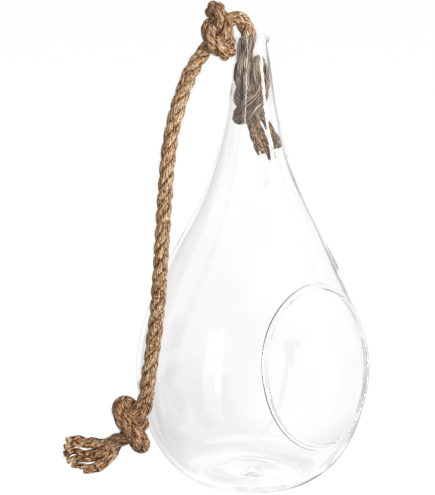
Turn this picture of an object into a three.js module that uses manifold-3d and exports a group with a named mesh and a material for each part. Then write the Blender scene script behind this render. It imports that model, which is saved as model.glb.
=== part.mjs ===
// Hanging glass vase: a blown glass bottle with an oval side opening, on a knotted three-strand rope.
// Millimetres, +Z up. The origin is the middle of the flat base, and the side opening faces -Y.
import * as THREE from 'three';
import { mergeVertices } from 'three/addons/utils/BufferGeometryUtils.js';
import Module from 'manifold-3d';

// Glass: heights are measured from the flat base
const VASE_HEIGHT = 305;
const BASE_RADIUS = 34;
const HEEL_RADIUS = 45;
const HEEL_HEIGHT = 4;
const BELLY_RADIUS = 79.5;
const BELLY_HEIGHT = 79;
const SHOULDER_RADIUS = 39.4;
const SHOULDER_HEIGHT = 185;
const SHOULDER_SLOPE = 0.547;
const RIM_RADIUS = 11.2;
const RIM_SLOPE = 0.058;
const BODY_WALL = 2.6;
const RIM_WALL = 1.4;
const FLOOR_THICKNESS = 5;
const FLOOR_RISE = 2.5;
const FLOOR_RADIUS = 36;

// Side opening and its fire-polished lip
const OPENING_HALF_WIDTH = 50.6;
const OPENING_HALF_HEIGHT = 54.4;
const OPENING_HEIGHT = 91;
const LIP_RADIUS = 1.9;
const DENT_DEPTH = 4.6;
const DENT_REACH_UP = 22;
const DENT_REACH_ACROSS = 27;

// Rope and its clearances
const ROPE_DIAMETER = 10.4;
const FRAY_RADIUS = 9.5;
const INNER_FRAY_RADIUS = 7.4;
const CLEARANCE = 0.3;
const KNOT_GAP = 0.5;
const KNOT_PRESS = 0.94;
const KNOT_BEND_RADIUS = 6;

// Fineness of the faceted surfaces
const AROUND = 56;
const CURVE_STEPS = 7;
const OPENING_STEPS = 60;
const LIP_SIDES = 8;
const ROPE_SIDES = 8;
const ROUTE_STEP = 2.5;
const PASS_STEPS = 7;
const RUN_STEP = 10;
const RUN_INSET = 5;

// How the knots are drawn tight
const SETTLE_ROUNDS = 300;
const CLOSING_ROUNDS = 60;
const SMOOTHING = 0.35;
const CLOSING_SMOOTHING = 0.2;
const HOLD = 0.012;

const GLASS = new THREE.MeshStandardMaterial({
  color: 0xe9eef0, roughness: 0.04, metalness: 0, transparent: true, opacity: 0.35,
});
const JUTE = new THREE.MeshStandardMaterial({ color: 0xb58a5e, roughness: 0.95, metalness: 0 });
const JUTE_FRAYED = new THREE.MeshStandardMaterial({ color: 0xa87a4e, roughness: 1, metalness: 0 });

const ROPE_RADIUS = ROPE_DIAMETER / 2;

// The rope lies in the photograph's own directions: x to the right, y away, z up. Its points are chosen by
// hand, and this angle turns them so that the side opening faces -Y.
const ROPE_TURN = -Math.PI / 4;
const INNER_TAIL_POINTS = [[13.8, 0, 227.5], [10.8, 0, 235.5], [7, 1, 242.4]];
const STOP_KNOT = {
  top: [-4.3, 0, 284.8], bottom: [-1.7, 0, 252.6], front: [0, -1, 0], hand: 1,
  twist: 5.2, spread: 9, bulge: 10,
};
const NECK_POINTS = [
  [-4.3, -2, 295.7], [-3.6, -3, 302.5], [-3.2, -4, 309], [-5.5, -7, 314], [-10.5, -10.5, 315.8],
];
const TOP_KNOT = {
  top: [-19.9, -19, 321.3], bottom: [-23.9, -21, 300.6], front: [0.2, 1, 0], hand: 1,
  twist: 5, spread: 8, bulge: 9,
};
const LONG_RUN_POINTS = [
  [-36.8, -27, 293.5], [-46.4, -37, 270.6], [-53.6, -43, 244.6], [-57, -48, 205.9], [-59.5, -51, 170],
  [-61.5, -53, 140], [-64, -54.5, 115], [-66.7, -55.5, 95.5], [-69.8, -55.5, 80.6],
];
const END_KNOT = {
  top: [-76.9, -55, 65.5], bottom: [-81.7, -56, 43.2], front: [0, -1, 0], hand: -1,
  twist: 6.2, spread: 12, bulge: 10,
};
const END_TAIL_POINTS = [
  [-89.8, -55, 42.2], [-97.2, -54, 37.7], [-106.5, -54, 32.9], [-114.5, -54, 30.1], [-122.5, -54, 28.1],
];

const wasm = await Module();
wasm.setup();

function toSolid(geometry) {
  const bare = geometry.clone();
  bare.deleteAttribute('normal');
  bare.deleteAttribute('uv');
  const merged = mergeVertices(bare, 1e-4);
  const vertProperties = new Float32Array(merged.attributes.position.array);
  const triVerts = new Uint32Array(merged.index.array);
  return new wasm.Manifold(new wasm.Mesh({ numProp: 3, vertProperties, triVerts }));
}

function toGeometry(solid) {
  const { vertProperties, triVerts } = solid.getMesh();
  const geometry = new THREE.BufferGeometry();
  geometry.setAttribute('position', new THREE.BufferAttribute(vertProperties, 3));
  geometry.setIndex(new THREE.BufferAttribute(triVerts, 1));
  geometry.computeVertexNormals();
  return geometry;
}

// Outside of the vase above its heel: three smooth curves, heel to belly, belly to shoulder, shoulder to rim
function outsideCurves() {
  const lower = BELLY_HEIGHT - HEEL_HEIGHT;
  const upper = SHOULDER_HEIGHT - BELLY_HEIGHT;
  const neck = VASE_HEIGHT - SHOULDER_HEIGHT;
  const v = (radius, height) => new THREE.Vector2(radius, height);
  const spread = BELLY_RADIUS - HEEL_RADIUS;
  return [
    new THREE.CubicBezierCurve(
      v(HEEL_RADIUS, HEEL_HEIGHT), v(HEEL_RADIUS + 0.66 * spread, HEEL_HEIGHT + 0.184 * lower),
      v(BELLY_RADIUS, BELLY_HEIGHT - 0.32 * lower), v(BELLY_RADIUS, BELLY_HEIGHT)),
    new THREE.CubicBezierCurve(
      v(BELLY_RADIUS, BELLY_HEIGHT), v(BELLY_RADIUS, BELLY_HEIGHT + 0.36 * upper),
      v(SHOULDER_RADIUS + SHOULDER_SLOPE * 0.126 * upper, SHOULDER_HEIGHT - 0.126 * upper),
      v(SHOULDER_RADIUS, SHOULDER_HEIGHT)),
    new THREE.CubicBezierCurve(
      v(SHOULDER_RADIUS, SHOULDER_HEIGHT),
      v(SHOULDER_RADIUS - SHOULDER_SLOPE * 0.184 * neck, SHOULDER_HEIGHT + 0.184 * neck),
      v(RIM_RADIUS + RIM_SLOPE * 0.497 * neck, VASE_HEIGHT - 0.497 * neck), v(RIM_RADIUS, VASE_HEIGHT)),
  ];
}

// Stations up the outside, each with its radius, height, outward normal and wall thickness
function outsideStations() {
  const stations = [];
  outsideCurves().forEach((curve, k) => {
    for (let i = k === 0 ? 0 : 1; i <= CURVE_STEPS; i += 1) {
      const point = curve.getPointAt(i / CURVE_STEPS);
      const tangent = curve.getTangentAt(i / CURVE_STEPS);
      const share = THREE.MathUtils.clamp(
        (point.y - 1.8 * BELLY_HEIGHT) / (VASE_HEIGHT - 1.8 * BELLY_HEIGHT), 0, 1);
      const wall = BODY_WALL + (RIM_WALL - BODY_WALL) * Math.min(1, 1.6 * share);
      stations.push({ radius: point.x, height: point.y, nx: tangent.y, ny: -tangent.x, wall });
    }
  });
  return stations;
}

const STATIONS = outsideStations();

function radiusAt(height, ofStation) {
  const k = STATIONS.findIndex((station) => station.height >= height);
  if (k <= 0) return ofStation(STATIONS[k === 0 ? 0 : STATIONS.length - 1]);
  const [low, high] = [STATIONS[k - 1], STATIONS[k]];
  const share = (height - low.height) / (high.height - low.height);
  return THREE.MathUtils.lerp(ofStation(low), ofStation(high), share);
}

const outerRadius = (height) => radiusAt(height, (station) => station.radius);
const boreRadius = (height) => radiusAt(height, (station) => station.radius - station.wall / station.nx);

// Closed outline of the glass wall: up the outside, over the rim, down the bore and across the floor
function glassOutline() {
  const v = (radius, height) => new THREE.Vector2(radius, height);
  const outside = STATIONS.map((station) => v(station.radius, station.height));
  const bore = STATIONS
    .map(({ radius, height, nx, ny, wall }) => v(radius - nx * wall, height - ny * wall))
    .filter((point) => point.y > FLOOR_THICKNESS + 2 * BODY_WALL)
    .reverse();
  bore[0].y = VASE_HEIGHT;
  const corner = new THREE.QuadraticBezierCurve(
    bore[bore.length - 1], v(HEEL_RADIUS, FLOOR_THICKNESS), v(FLOOR_RADIUS, FLOOR_THICKNESS));
  const floor = corner.getPoints(3).slice(1);
  const rise = [1, 2, 3].map((k) => {
    const share = k / 3;
    const height = FLOOR_THICKNESS + FLOOR_RISE * (1 - Math.cos(Math.PI * share)) / 2;
    return v(FLOOR_RADIUS * (1 - share), height);
  });
  return [v(0, 0), v(BASE_RADIUS, 0), ...outside, ...bore, ...floor, ...rise];
}

// Depth by which the wall is drawn in above the side opening
function dent(x, z) {
  const above = (z - OPENING_HEIGHT - OPENING_HALF_HEIGHT) / DENT_REACH_UP;
  return DENT_DEPTH * Math.exp(-0.5 * (above ** 2 + (x / DENT_REACH_ACROSS) ** 2));
}

function drawIn(geometry) {
  const position = geometry.attributes.position;
  for (let i = 0; i < position.count; i += 1) {
    if (position.getY(i) < 0) {
      position.setY(i, position.getY(i) + dent(position.getX(i), position.getZ(i)));
    }
  }
  return geometry;
}

// Point of the wall's middle on the rim of the opening, at an angle round the oval
function openingPoint(angle) {
  const x = OPENING_HALF_WIDTH * Math.cos(angle);
  const z = OPENING_HEIGHT + OPENING_HALF_HEIGHT * Math.sin(angle);
  const middle = (outerRadius(z) + boreRadius(z)) / 2;
  return new THREE.Vector3(x, -Math.sqrt(middle ** 2 - x ** 2) + dent(x, z), z);
}

function closedSweep(centres, sideways, upwards, sides, radius) {
  const points = [];
  const faces = [];
  const count = centres.length;
  centres.forEach((centre, i) => {
    for (let k = 0; k < sides; k += 1) {
      const angle = (2 * Math.PI * k) / sides;
      const point = centre.clone().addScaledVector(sideways[i], radius * Math.cos(angle));
      point.addScaledVector(upwards[i], radius * Math.sin(angle));
      points.push(...point.toArray());
      const next = ((i + 1) % count) * sides;
      const turn = (k + 1) % sides;
      faces.push(i * sides + k, i * sides + turn, next + turn);
      faces.push(i * sides + k, next + turn, next + k);
    }
  });
  const geometry = new THREE.BufferGeometry();
  geometry.setAttribute('position', new THREE.Float32BufferAttribute(points, 3));
  geometry.setIndex(faces);
  return geometry;
}

// Rounded bead of glass that runs once round the opening
function lipBead() {
  const centres = [];
  const sideways = [];
  const upwards = [];
  for (let i = 0; i < OPENING_STEPS; i += 1) {
    const angle = (2 * Math.PI * i) / OPENING_STEPS;
    const ahead = openingPoint(angle + 0.01).sub(openingPoint(angle - 0.01)).normalize();
    const out = new THREE.Vector3(0, -1, 0).addScaledVector(ahead, ahead.y).normalize();
    centres.push(openingPoint(angle));
    sideways.push(new THREE.Vector3().crossVectors(out, ahead).normalize());
    upwards.push(out);
  }
  return closedSweep(centres, sideways, upwards, LIP_SIDES, LIP_RADIUS);
}

function glassBody() {
  const blown = new THREE.LatheGeometry(glassOutline(), AROUND).rotateX(Math.PI / 2);
  const shell = toSolid(drawIn(blown));
  const oval = new THREE.Shape();
  oval.absellipse(0, 0, OPENING_HALF_WIDTH, OPENING_HALF_HEIGHT, 0, 2 * Math.PI);
  const cutter = new THREE.ExtrudeGeometry(oval, {
    depth: BELLY_RADIUS, bevelEnabled: false, curveSegments: OPENING_STEPS / 2,
  });
  cutter.rotateX(Math.PI / 2);
  cutter.translate(0, -0.25 * BELLY_RADIUS, OPENING_HEIGHT);
  return toGeometry(shell.subtract(toSolid(cutter)).add(toSolid(lipBead())));
}

// An overhand knot from the standing part to its tail: two passes twist once about each other, and a band
// crosses their front
function overhand({ top, bottom, front, hand, twist, spread, bulge }) {
  const high = new THREE.Vector3(...top);
  const low = new THREE.Vector3(...bottom);
  const up = high.clone().sub(low);
  const long = up.length();
  up.normalize();
  const fore = new THREE.Vector3(...front);
  fore.addScaledVector(up, -fore.dot(up)).normalize();
  const right = new THREE.Vector3().crossVectors(up, fore).multiplyScalar(hand);
  const pass = (start, from) => Array.from({ length: PASS_STEPS + 1 }, (unused, k) => {
    const share = from + ((1 - from) * k) / PASS_STEPS;
    const angle = start + 2 * Math.PI * share;
    return high.clone().lerp(low, share)
      .addScaledVector(right, twist * Math.cos(angle)).addScaledVector(fore, -twist * Math.sin(angle));
  });
  const band = [[0, -0.9, 0.55], [0.25, -0.45, 1], [0.62, 0.35, 1], [0.95, 0.95, 0.5]].map(
    ([rise, across, forward]) => low.clone().addScaledVector(up, rise * long)
      .addScaledVector(right, across * spread).addScaledVector(fore, forward * bulge));
  return [...pass(Math.PI, 0), ...band, ...pass(0, 0.06)];
}

const toVectors = (points) => points.map((point) => new THREE.Vector3(...point));

// The whole route, and the place along it where each named stretch starts
function chosenRoute() {
  const stretches = [
    toVectors(INNER_TAIL_POINTS), overhand(STOP_KNOT).reverse(), toVectors(NECK_POINTS), overhand(TOP_KNOT),
    toVectors(LONG_RUN_POINTS), overhand(END_KNOT), toVectors(END_TAIL_POINTS),
  ];
  const points = stretches.flat();
  const curve = new THREE.CatmullRomCurve3(points, false, 'centripetal');
  curve.arcLengthDivisions = 10 * points.length;
  const lengths = curve.getLengths();
  const total = lengths[lengths.length - 1];
  const steps = Math.round(total / ROUTE_STEP);
  const starts = [];
  let count = 0;
  stretches.forEach((stretch) => {
    starts.push(Math.round((lengths[10 * count] / total) * steps));
    count += stretch.length;
  });
  return { line: curve.getSpacedPoints(steps), starts };
}

// Keeps the rope inside the bore, outside the body and off the rim of the mouth
function keepClear(line, crest) {
  line.forEach((point, i) => {
    if (i < 2 || i > line.length - 3) return;
    const across = Math.hypot(point.x, point.y);
    const scale = (radius) => {
      point.x *= radius / across;
      point.y *= radius / across;
    };
    const inside = i < crest;
    const room = boreRadius(point.z) - ROPE_RADIUS - CLEARANCE;
    const body = outerRadius(point.z) + ROPE_RADIUS + CLEARANCE;
    if (inside && point.z < VASE_HEIGHT && across > room) scale(room);
    if (!inside && point.z < SHOULDER_HEIGHT && across < body) scale(body);
    const rimMiddle = RIM_RADIUS - RIM_WALL / 2;
    const share = rimMiddle / across;
    const rim = new THREE.Vector3(point.x * share, point.y * share, VASE_HEIGHT);
    const away = point.clone().sub(rim);
    const needed = ROPE_RADIUS + RIM_WALL / 2 + CLEARANCE;
    if (away.length() < needed) point.copy(rim).addScaledVector(away.normalize(), needed);
  });
}

// Presses passes of the rope apart, and opens bends that are too tight
function pressApart(line, step) {
  const push = line.map(() => new THREE.Vector3());
  const hits = line.map(() => 0);
  const thick = KNOT_PRESS * ROPE_DIAMETER;
  const bend = 2 * KNOT_BEND_RADIUS;
  const away = new THREE.Vector3();
  for (let i = 0; i < line.length; i += 1) {
    for (let j = i + 3; j < line.length; j += 1) {
      const along = (j - i) * step;
      const needed = Math.min(thick, bend * Math.sin(Math.min(along / bend, Math.PI / 2)));
      away.subVectors(line[i], line[j]);
      const apart = away.length();
      if (apart < needed) {
        push[i].addScaledVector(away, (needed - apart) / apart);
        push[j].addScaledVector(away, (apart - needed) / apart);
        hits[i] += 1;
        hits[j] += 1;
      }
    }
  }
  line.forEach((point, i) => {
    if (i > 1 && i < line.length - 2) point.addScaledVector(push[i], 0.5 / Math.sqrt(Math.max(hits[i], 1)));
  });
}

// Brings the steps along the rope back to one length
function evenSteps(line, step) {
  const moves = line.map(() => new THREE.Vector3());
  for (let i = 0; i + 1 < line.length; i += 1) {
    const edge = new THREE.Vector3().subVectors(line[i + 1], line[i]);
    edge.multiplyScalar((0.5 * (edge.length() - step)) / edge.length());
    moves[i].add(edge);
    moves[i + 1].sub(edge);
  }
  line.forEach((point, i) => {
    if (i > 1 && i < line.length - 2) point.add(moves[i]);
  });
}

// Draws the knots tight: the rope is smoothed, pressed apart and kept at its length, round after round
function settle(chosen, crest) {
  const line = chosen.map((point) => point.clone());
  for (let round = 0; round < SETTLE_ROUNDS; round += 1) {
    const closing = round >= SETTLE_ROUNDS - CLOSING_ROUNDS;
    const before = line.map((point) => point.clone());
    for (let i = 2; i < line.length - 2; i += 1) {
      const middle = before[i - 1].clone().add(before[i + 1]).multiplyScalar(0.5);
      line[i].lerp(middle, closing ? CLOSING_SMOOTHING : SMOOTHING);
    }
    pressApart(line, ROUTE_STEP);
    evenSteps(line, ROUTE_STEP);
    evenSteps(line, ROUTE_STEP);
    if (!closing) line.forEach((point, i) => point.lerp(chosen[i], HOLD));
    keepClear(line, crest);
  }
  return line;
}

// Distance from each point of the rope to the nearest other pass of it
function otherPasses(line) {
  const apart = 2.2 * ROPE_DIAMETER / ROUTE_STEP;
  return line.map((point, i) => {
    const others = line.filter((other, j) => Math.abs(i - j) > apart);
    return Math.min(...others.map((other) => point.distanceTo(other)));
  });
}

function bendRadius(line, i) {
  if (i === 0 || i === line.length - 1) return Infinity;
  const before = new THREE.Vector3().subVectors(line[i], line[i - 1]);
  const after = new THREE.Vector3().subVectors(line[i + 1], line[i]);
  return (before.length() + after.length()) / 2 / Math.max(before.angleTo(after), 1e-6);
}

// Radius of the rope at each point: full where it is free, fanned out at its frayed ends, squeezed where two
// passes press on each other, where it bends sharply and where it touches the bore
function ropeRadii(line, starts, crest) {
  const nearest = otherPasses(line);
  const last = line.length - 1;
  const most = line.map((point, i) => {
    const innerShare = Math.max(0, 1 - i / starts[1]);
    const endShare = Math.max(0, (i - starts[6]) / (last - starts[6]));
    const wanted = ROPE_RADIUS + (INNER_FRAY_RADIUS - ROPE_RADIUS) * innerShare
      + (FRAY_RADIUS - ROPE_RADIUS) * endShare;
    const room = i < crest && point.z < VASE_HEIGHT
      ? boreRadius(point.z) - Math.hypot(point.x, point.y) - CLEARANCE : Infinity;
    return Math.min(wanted, (nearest[i] - KNOT_GAP) / 2, 0.9 * bendRadius(line, i), room);
  });
  let radii = most.slice();
  for (let round = 0; round < 3; round += 1) {
    radii = radii.map((radius, i) => {
      const around = (radii[Math.max(i - 1, 0)] + radius + radii[Math.min(i + 1, last)]) / 3;
      return Math.min(most[i], around);
    });
  }
  return radii;
}

// Directions across the rope, carried along it without twist
function carriedFrames(line) {
  const frames = [];
  let side = new THREE.Vector3(0, 1, 0);
  line.forEach((point, i) => {
    const ahead = new THREE.Vector3()
      .subVectors(line[Math.min(i + 1, line.length - 1)], line[Math.max(i - 1, 0)]).normalize();
    side = side.clone().addScaledVector(ahead, -side.dot(ahead)).normalize();
    frames.push({ ahead, side, over: new THREE.Vector3().crossVectors(ahead, side) });
  });
  return frames;
}

// A solid length of the rope whose radius changes along it, closed by a flat end at each side
function shapedLength(rope, from, to) {
  const points = [];
  const faces = [];
  for (let i = from; i <= to; i += 1) {
    const { ahead, side, over } = rope.frames[i];
    const trim = i === from ? CLEARANCE / 2 : 0;
    const centre = rope.line[i].clone().addScaledVector(ahead, i === to ? -CLEARANCE / 2 : trim);
    for (let k = 0; k < ROPE_SIDES; k += 1) {
      const angle = (2 * Math.PI * k) / ROPE_SIDES;
      const point = centre.clone().addScaledVector(side, rope.radii[i] * Math.cos(angle));
      points.push(...point.addScaledVector(over, rope.radii[i] * Math.sin(angle)).toArray());
    }
    for (let k = 0; k < ROPE_SIDES && i < to; k += 1) {
      const ring = (i - from) * ROPE_SIDES;
      const turn = (k + 1) % ROPE_SIDES;
      faces.push(ring + k, ring + turn, ring + ROPE_SIDES + turn);
      faces.push(ring + k, ring + ROPE_SIDES + turn, ring + ROPE_SIDES + k);
    }
  }
  const end = (to - from) * ROPE_SIDES;
  for (let k = 1; k + 1 < ROPE_SIDES; k += 1) {
    faces.push(0, k + 1, k);
    faces.push(end, end + k, end + k + 1);
  }
  const geometry = new THREE.BufferGeometry();
  geometry.setAttribute('position', new THREE.Float32BufferAttribute(points, 3));
  geometry.setIndex(faces);
  geometry.computeVertexNormals();
  return geometry;
}

// A free stretch of the rope at its full thickness
function freeLength(rope, from, to) {
  const points = rope.line.slice(from, to + 1).map((point) => point.clone());
  points[0].addScaledVector(rope.frames[from].ahead, CLEARANCE / 2);
  points[points.length - 1].addScaledVector(rope.frames[to].ahead, -CLEARANCE / 2);
  const path = new THREE.CatmullRomCurve3(points, false, 'centripetal');
  path.arcLengthDivisions = 8 * points.length;
  const section = new THREE.Shape(Array.from({ length: ROPE_SIDES }, (unused, k) => {
    const angle = (2 * Math.PI * k) / ROPE_SIDES;
    return new THREE.Vector2(ROPE_RADIUS * Math.cos(angle), ROPE_RADIUS * Math.sin(angle));
  }));
  const steps = Math.round(path.getLength() / RUN_STEP);
  return new THREE.ExtrudeGeometry(section, { extrudePath: path, steps });
}

function namedMesh(name, geometry, material) {
  const mesh = new THREE.Mesh(geometry, material);
  mesh.name = name;
  return mesh;
}

// The rope: three knots, the stretches between them and two frayed tails
function ropeGroup() {
  const { line: chosen, starts } = chosenRoute();
  const crest = starts[3];
  const line = settle(chosen, crest);
  const rope = { line, frames: carriedFrames(line), radii: ropeRadii(line, starts, crest) };
  const [, stop, neck, topKnot, run, endKnot, tail] = starts;
  const gap = Math.min(...otherPasses(line).map((apart, i) => apart - 2 * rope.radii[i]));
  const length = (line.length - 1) * ROUTE_STEP;
  console.log(`rope length ${length.toFixed(0)} mm, least gap to itself ${gap.toFixed(2)} mm`);
  const inset = run + Math.round(RUN_INSET / ROUTE_STEP);
  const group = new THREE.Group();
  group.add(
    namedMesh('rope_inner_tail', shapedLength(rope, 0, stop), JUTE_FRAYED),
    namedMesh('rope_stop_knot', shapedLength(rope, stop, neck), JUTE),
    namedMesh('rope_neck_run', shapedLength(rope, neck, topKnot), JUTE),
    namedMesh('rope_top_knot', shapedLength(rope, topKnot, inset), JUTE),
    namedMesh('rope_long_run', freeLength(rope, inset, endKnot), JUTE),
    namedMesh('rope_end_knot', shapedLength(rope, endKnot, tail), JUTE),
    namedMesh('rope_end_tail', shapedLength(rope, tail, line.length - 1), JUTE_FRAYED),
  );
  group.rotation.z = ROPE_TURN;
  return group;
}

const vase = new THREE.Group();
vase.add(namedMesh('glass_body', glassBody(), GLASS), ropeGroup());

export default vase;
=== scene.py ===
"""A hanging glass vase with an oval side opening, carried by a knotted three-strand jute rope."""

import logging
import math
import random
from collections.abc import Sequence
from dataclasses import dataclass, field
from enum import Enum

import bpy
import numpy as np
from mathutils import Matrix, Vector
from mathutils.geometry import delaunay_2d_cdt


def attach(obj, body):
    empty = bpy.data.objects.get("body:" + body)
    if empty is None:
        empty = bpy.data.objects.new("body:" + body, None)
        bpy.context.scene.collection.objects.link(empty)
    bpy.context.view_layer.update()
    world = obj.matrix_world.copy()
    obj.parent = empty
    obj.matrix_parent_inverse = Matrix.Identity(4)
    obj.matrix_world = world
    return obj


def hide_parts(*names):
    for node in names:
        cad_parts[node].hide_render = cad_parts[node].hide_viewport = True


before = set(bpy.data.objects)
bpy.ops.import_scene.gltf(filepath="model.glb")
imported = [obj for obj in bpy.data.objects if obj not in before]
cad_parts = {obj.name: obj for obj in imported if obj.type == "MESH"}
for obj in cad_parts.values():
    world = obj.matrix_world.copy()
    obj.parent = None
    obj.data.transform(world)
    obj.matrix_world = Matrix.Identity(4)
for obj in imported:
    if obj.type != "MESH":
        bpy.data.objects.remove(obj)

LOG = logging.getLogger("vase")

Point = tuple[float, float, float]
Colour = tuple[float, float, float, float]

# One unit of the yarns' own UV map along them, in metres
YARN_UNIT = 0.004


class Slot(Enum):
    """The material slots of the part."""

    CLEAR_GLASS = "clear_glass"
    JUTE_ROPE = "jute_rope"
    FRAYED_JUTE = "frayed_jute"


class Skin(Enum):
    """The two skins of the glass, which meet at the rim and at the lip of the opening."""

    OUTER = "outer"
    INNER = "inner"


# Numbers along curves


def unit(v: np.ndarray) -> np.ndarray:
    """Scale each row of an array of vectors to length 1."""
    return v / np.maximum(np.linalg.norm(v, axis=-1, keepdims=True), 1e-12)


def smooth_step(x: np.ndarray, low: float, high: float) -> np.ndarray:
    """Rise smoothly from 0 at low to 1 at high.

    Args:
        x: the values to read.
        low: where the step starts.
        high: where the step ends.

    Returns:
        A value from 0 to 1 for each value of x.
    """
    t = np.clip((np.asarray(x, float) - low) / (high - low), 0.0, 1.0)
    return t * t * (3.0 - 2.0 * t)


def wander(x: np.ndarray, pitch: float, seed: int) -> np.ndarray:
    """Return a smooth wandering value from about -1 to 1 along a length.

    Args:
        x: places along the length, in metres.
        pitch: the distance between two of its bends, in metres.
        seed: which of the many possible wanderings this is.

    Returns:
        One value for each place.
    """
    rng = np.random.default_rng(seed)
    total = np.zeros(np.shape(x))
    for k in range(4):
        wave, phase = rng.uniform(0.6, 1.7), rng.uniform(0, 2 * math.pi)
        total = total + np.sin(2 * math.pi * np.asarray(x) * wave / pitch + phase) / 4
    return 1.6 * total


def arc_lengths(line: np.ndarray) -> np.ndarray:
    """Return the distance along a line of points at each of its points."""
    return np.concatenate([[0.0], np.cumsum(np.linalg.norm(np.diff(line, axis=0), axis=1))])


def catmull(points: np.ndarray, places: np.ndarray) -> np.ndarray:
    """Read a centripetal Catmull-Rom curve through points.

    Args:
        points: the points that the curve goes through, one a row.
        places: where to read it, from 0 at the first point to 1 at the last.

    Returns:
        One point of the curve for each place.
    """
    padded = np.vstack([2 * points[0] - points[1], points, 2 * points[-1] - points[-2]])
    at = np.clip(places, 0, 1) * (len(points) - 1)
    k = np.minimum(at.astype(int), len(points) - 2)
    t = (at - k)[:, None]
    p0, p1, p2, p3 = (padded[k + j] for j in range(4))
    d1, d2, d3 = (
        np.maximum(np.linalg.norm(b - a, axis=1, keepdims=True), 1e-9) ** 0.5
        for a, b in ((p0, p1), (p1, p2), (p2, p3))
    )
    m1 = ((p1 - p0) / d1 - (p2 - p0) / (d1 + d2) + (p2 - p1) / d2) * d2
    m2 = ((p2 - p1) / d2 - (p3 - p1) / (d2 + d3) + (p3 - p2) / d3) * d2
    return (
        (2 * t**3 - 3 * t**2 + 1) * p1
        + (t**3 - 2 * t**2 + t) * m1
        + (3 * t**2 - 2 * t**3) * p2
        + (t**3 - t**2) * m2
    )


def carried_frames(line: np.ndarray) -> tuple[np.ndarray, np.ndarray, np.ndarray]:
    """Carry a pair of directions along a line without twist.

    Args:
        line: the points of the line.

    Returns:
        The direction along the line and two directions across it, one row for each point.
    """
    ahead = unit(np.gradient(line, axis=0))
    side = np.zeros_like(line)
    start = np.array([0.0, 1.0, 0.0])
    for i, tangent in enumerate(ahead):
        start = start - tangent * (start @ tangent)
        start = start / np.linalg.norm(start)
        side[i] = start
    return ahead, side, np.cross(ahead, side)


def turned_about_axis(points: np.ndarray, angle: float) -> np.ndarray:
    """Return points that are turned about the axis of the vase by an angle in radians."""
    cos, sin = math.cos(angle), math.sin(angle)
    return points @ np.array([[cos, sin, 0], [-sin, cos, 0], [0, 0, 1]])


def pulled_arc(start: Sequence[float], pull: Sequence[float], end: Sequence[float], count: int) -> np.ndarray:
    """Return an arc between two points that bends towards a third.

    Args:
        start: where it starts, which isn't returned.
        pull: the point that it bends towards.
        end: where it ends.
        count: the number of its points with the start.

    Returns:
        One point a row.
    """
    a, b, c = np.array(start), np.array(pull), np.array(end)
    t = np.linspace(0, 1, count)[1:, None]
    return (1 - t) ** 2 * a + 2 * (1 - t) * t * b + t**2 * c


# Meshes


def add_piece(name: str, mesh: bpy.types.Mesh) -> bpy.types.Object:
    """Put a smooth-shaded mesh into the scene at the origin.

    Args:
        name: the name of the piece.
        mesh: its finished mesh.

    Returns:
        The piece.
    """
    mesh.polygons.foreach_set("use_smooth", [True] * len(mesh.polygons))
    obj = bpy.data.objects.new(name, mesh)
    bpy.context.scene.collection.objects.link(obj)
    return obj


def new_piece(
    name: str, points: np.ndarray, faces: list[tuple[int, ...]], material: bpy.types.Material
) -> bpy.types.Object:
    """Make a piece from its corners and faces.

    Args:
        name: the name of the piece.
        points: its corners in the frame of the part, in metres.
        faces: the corner numbers of each face, anticlockwise from outside.
        material: its finish.

    Returns:
        The piece.
    """
    mesh = bpy.data.meshes.new(name)
    mesh.from_pydata(np.asarray(points).tolist(), [], faces)
    mesh.materials.append(material)
    mesh.update()
    return add_piece(name, mesh)


def store_field(obj: bpy.types.Object, name: str, values: np.ndarray) -> None:
    """Store a number or a direction for each corner of a mesh.

    Args:
        obj: the piece.
        name: the name that its finish or its fibres read.
        values: one number or one direction a corner.
    """
    kind, key = ("FLOAT", "value") if values.ndim == 1 else ("FLOAT_VECTOR", "vector")
    layer = obj.data.attributes.new(name, kind, "POINT")
    layer.data.foreach_set(key, values.reshape(-1))


def store_map(obj: bpy.types.Object, places: np.ndarray) -> None:
    """Store the UV map that follows the yarns, one place for each corner of each face in turn."""
    layer = obj.data.uv_layers.new(name="yarn")
    layer.data.foreach_set("uv", places.reshape(-1))


def ring_map(across: np.ndarray, following: np.ndarray, along: np.ndarray) -> np.ndarray:
    """Return the UV places of the faces between rings of corners.

    Args:
        across: the place across the yarns at each corner, one ring a row.
        following: the same for the next corner round each ring.
        along: the place of each ring along the yarns, in metres.

    Returns:
        One place for each corner of each face in turn.
    """
    u = np.stack([across[:-1], following[:-1], following[1:], across[1:]], axis=-1)
    v = np.broadcast_to(along[:, None] / YARN_UNIT, across.shape)
    v = np.stack([v[:-1], v[:-1], v[1:], v[1:]], axis=-1)
    return np.stack([u.reshape(-1), v.reshape(-1)], axis=-1)


def strip(low: np.ndarray, high: np.ndarray, turned: bool = False) -> list[tuple[int, ...]]:
    """Join two closed rings of corners by a band of faces.

    Args:
        low: corner numbers of the first ring.
        high: corner numbers of the second ring, in the same order.
        turned: True to face the band the other way.

    Returns:
        The faces of the band.
    """
    a, b = low, high
    a2, b2 = np.roll(a, -1), np.roll(b, -1)
    rows = zip(a, b, b2, a2) if turned else zip(a, a2, b2, b)
    return [tuple(int(x) for x in row) for row in rows]


# Node trees


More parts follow.
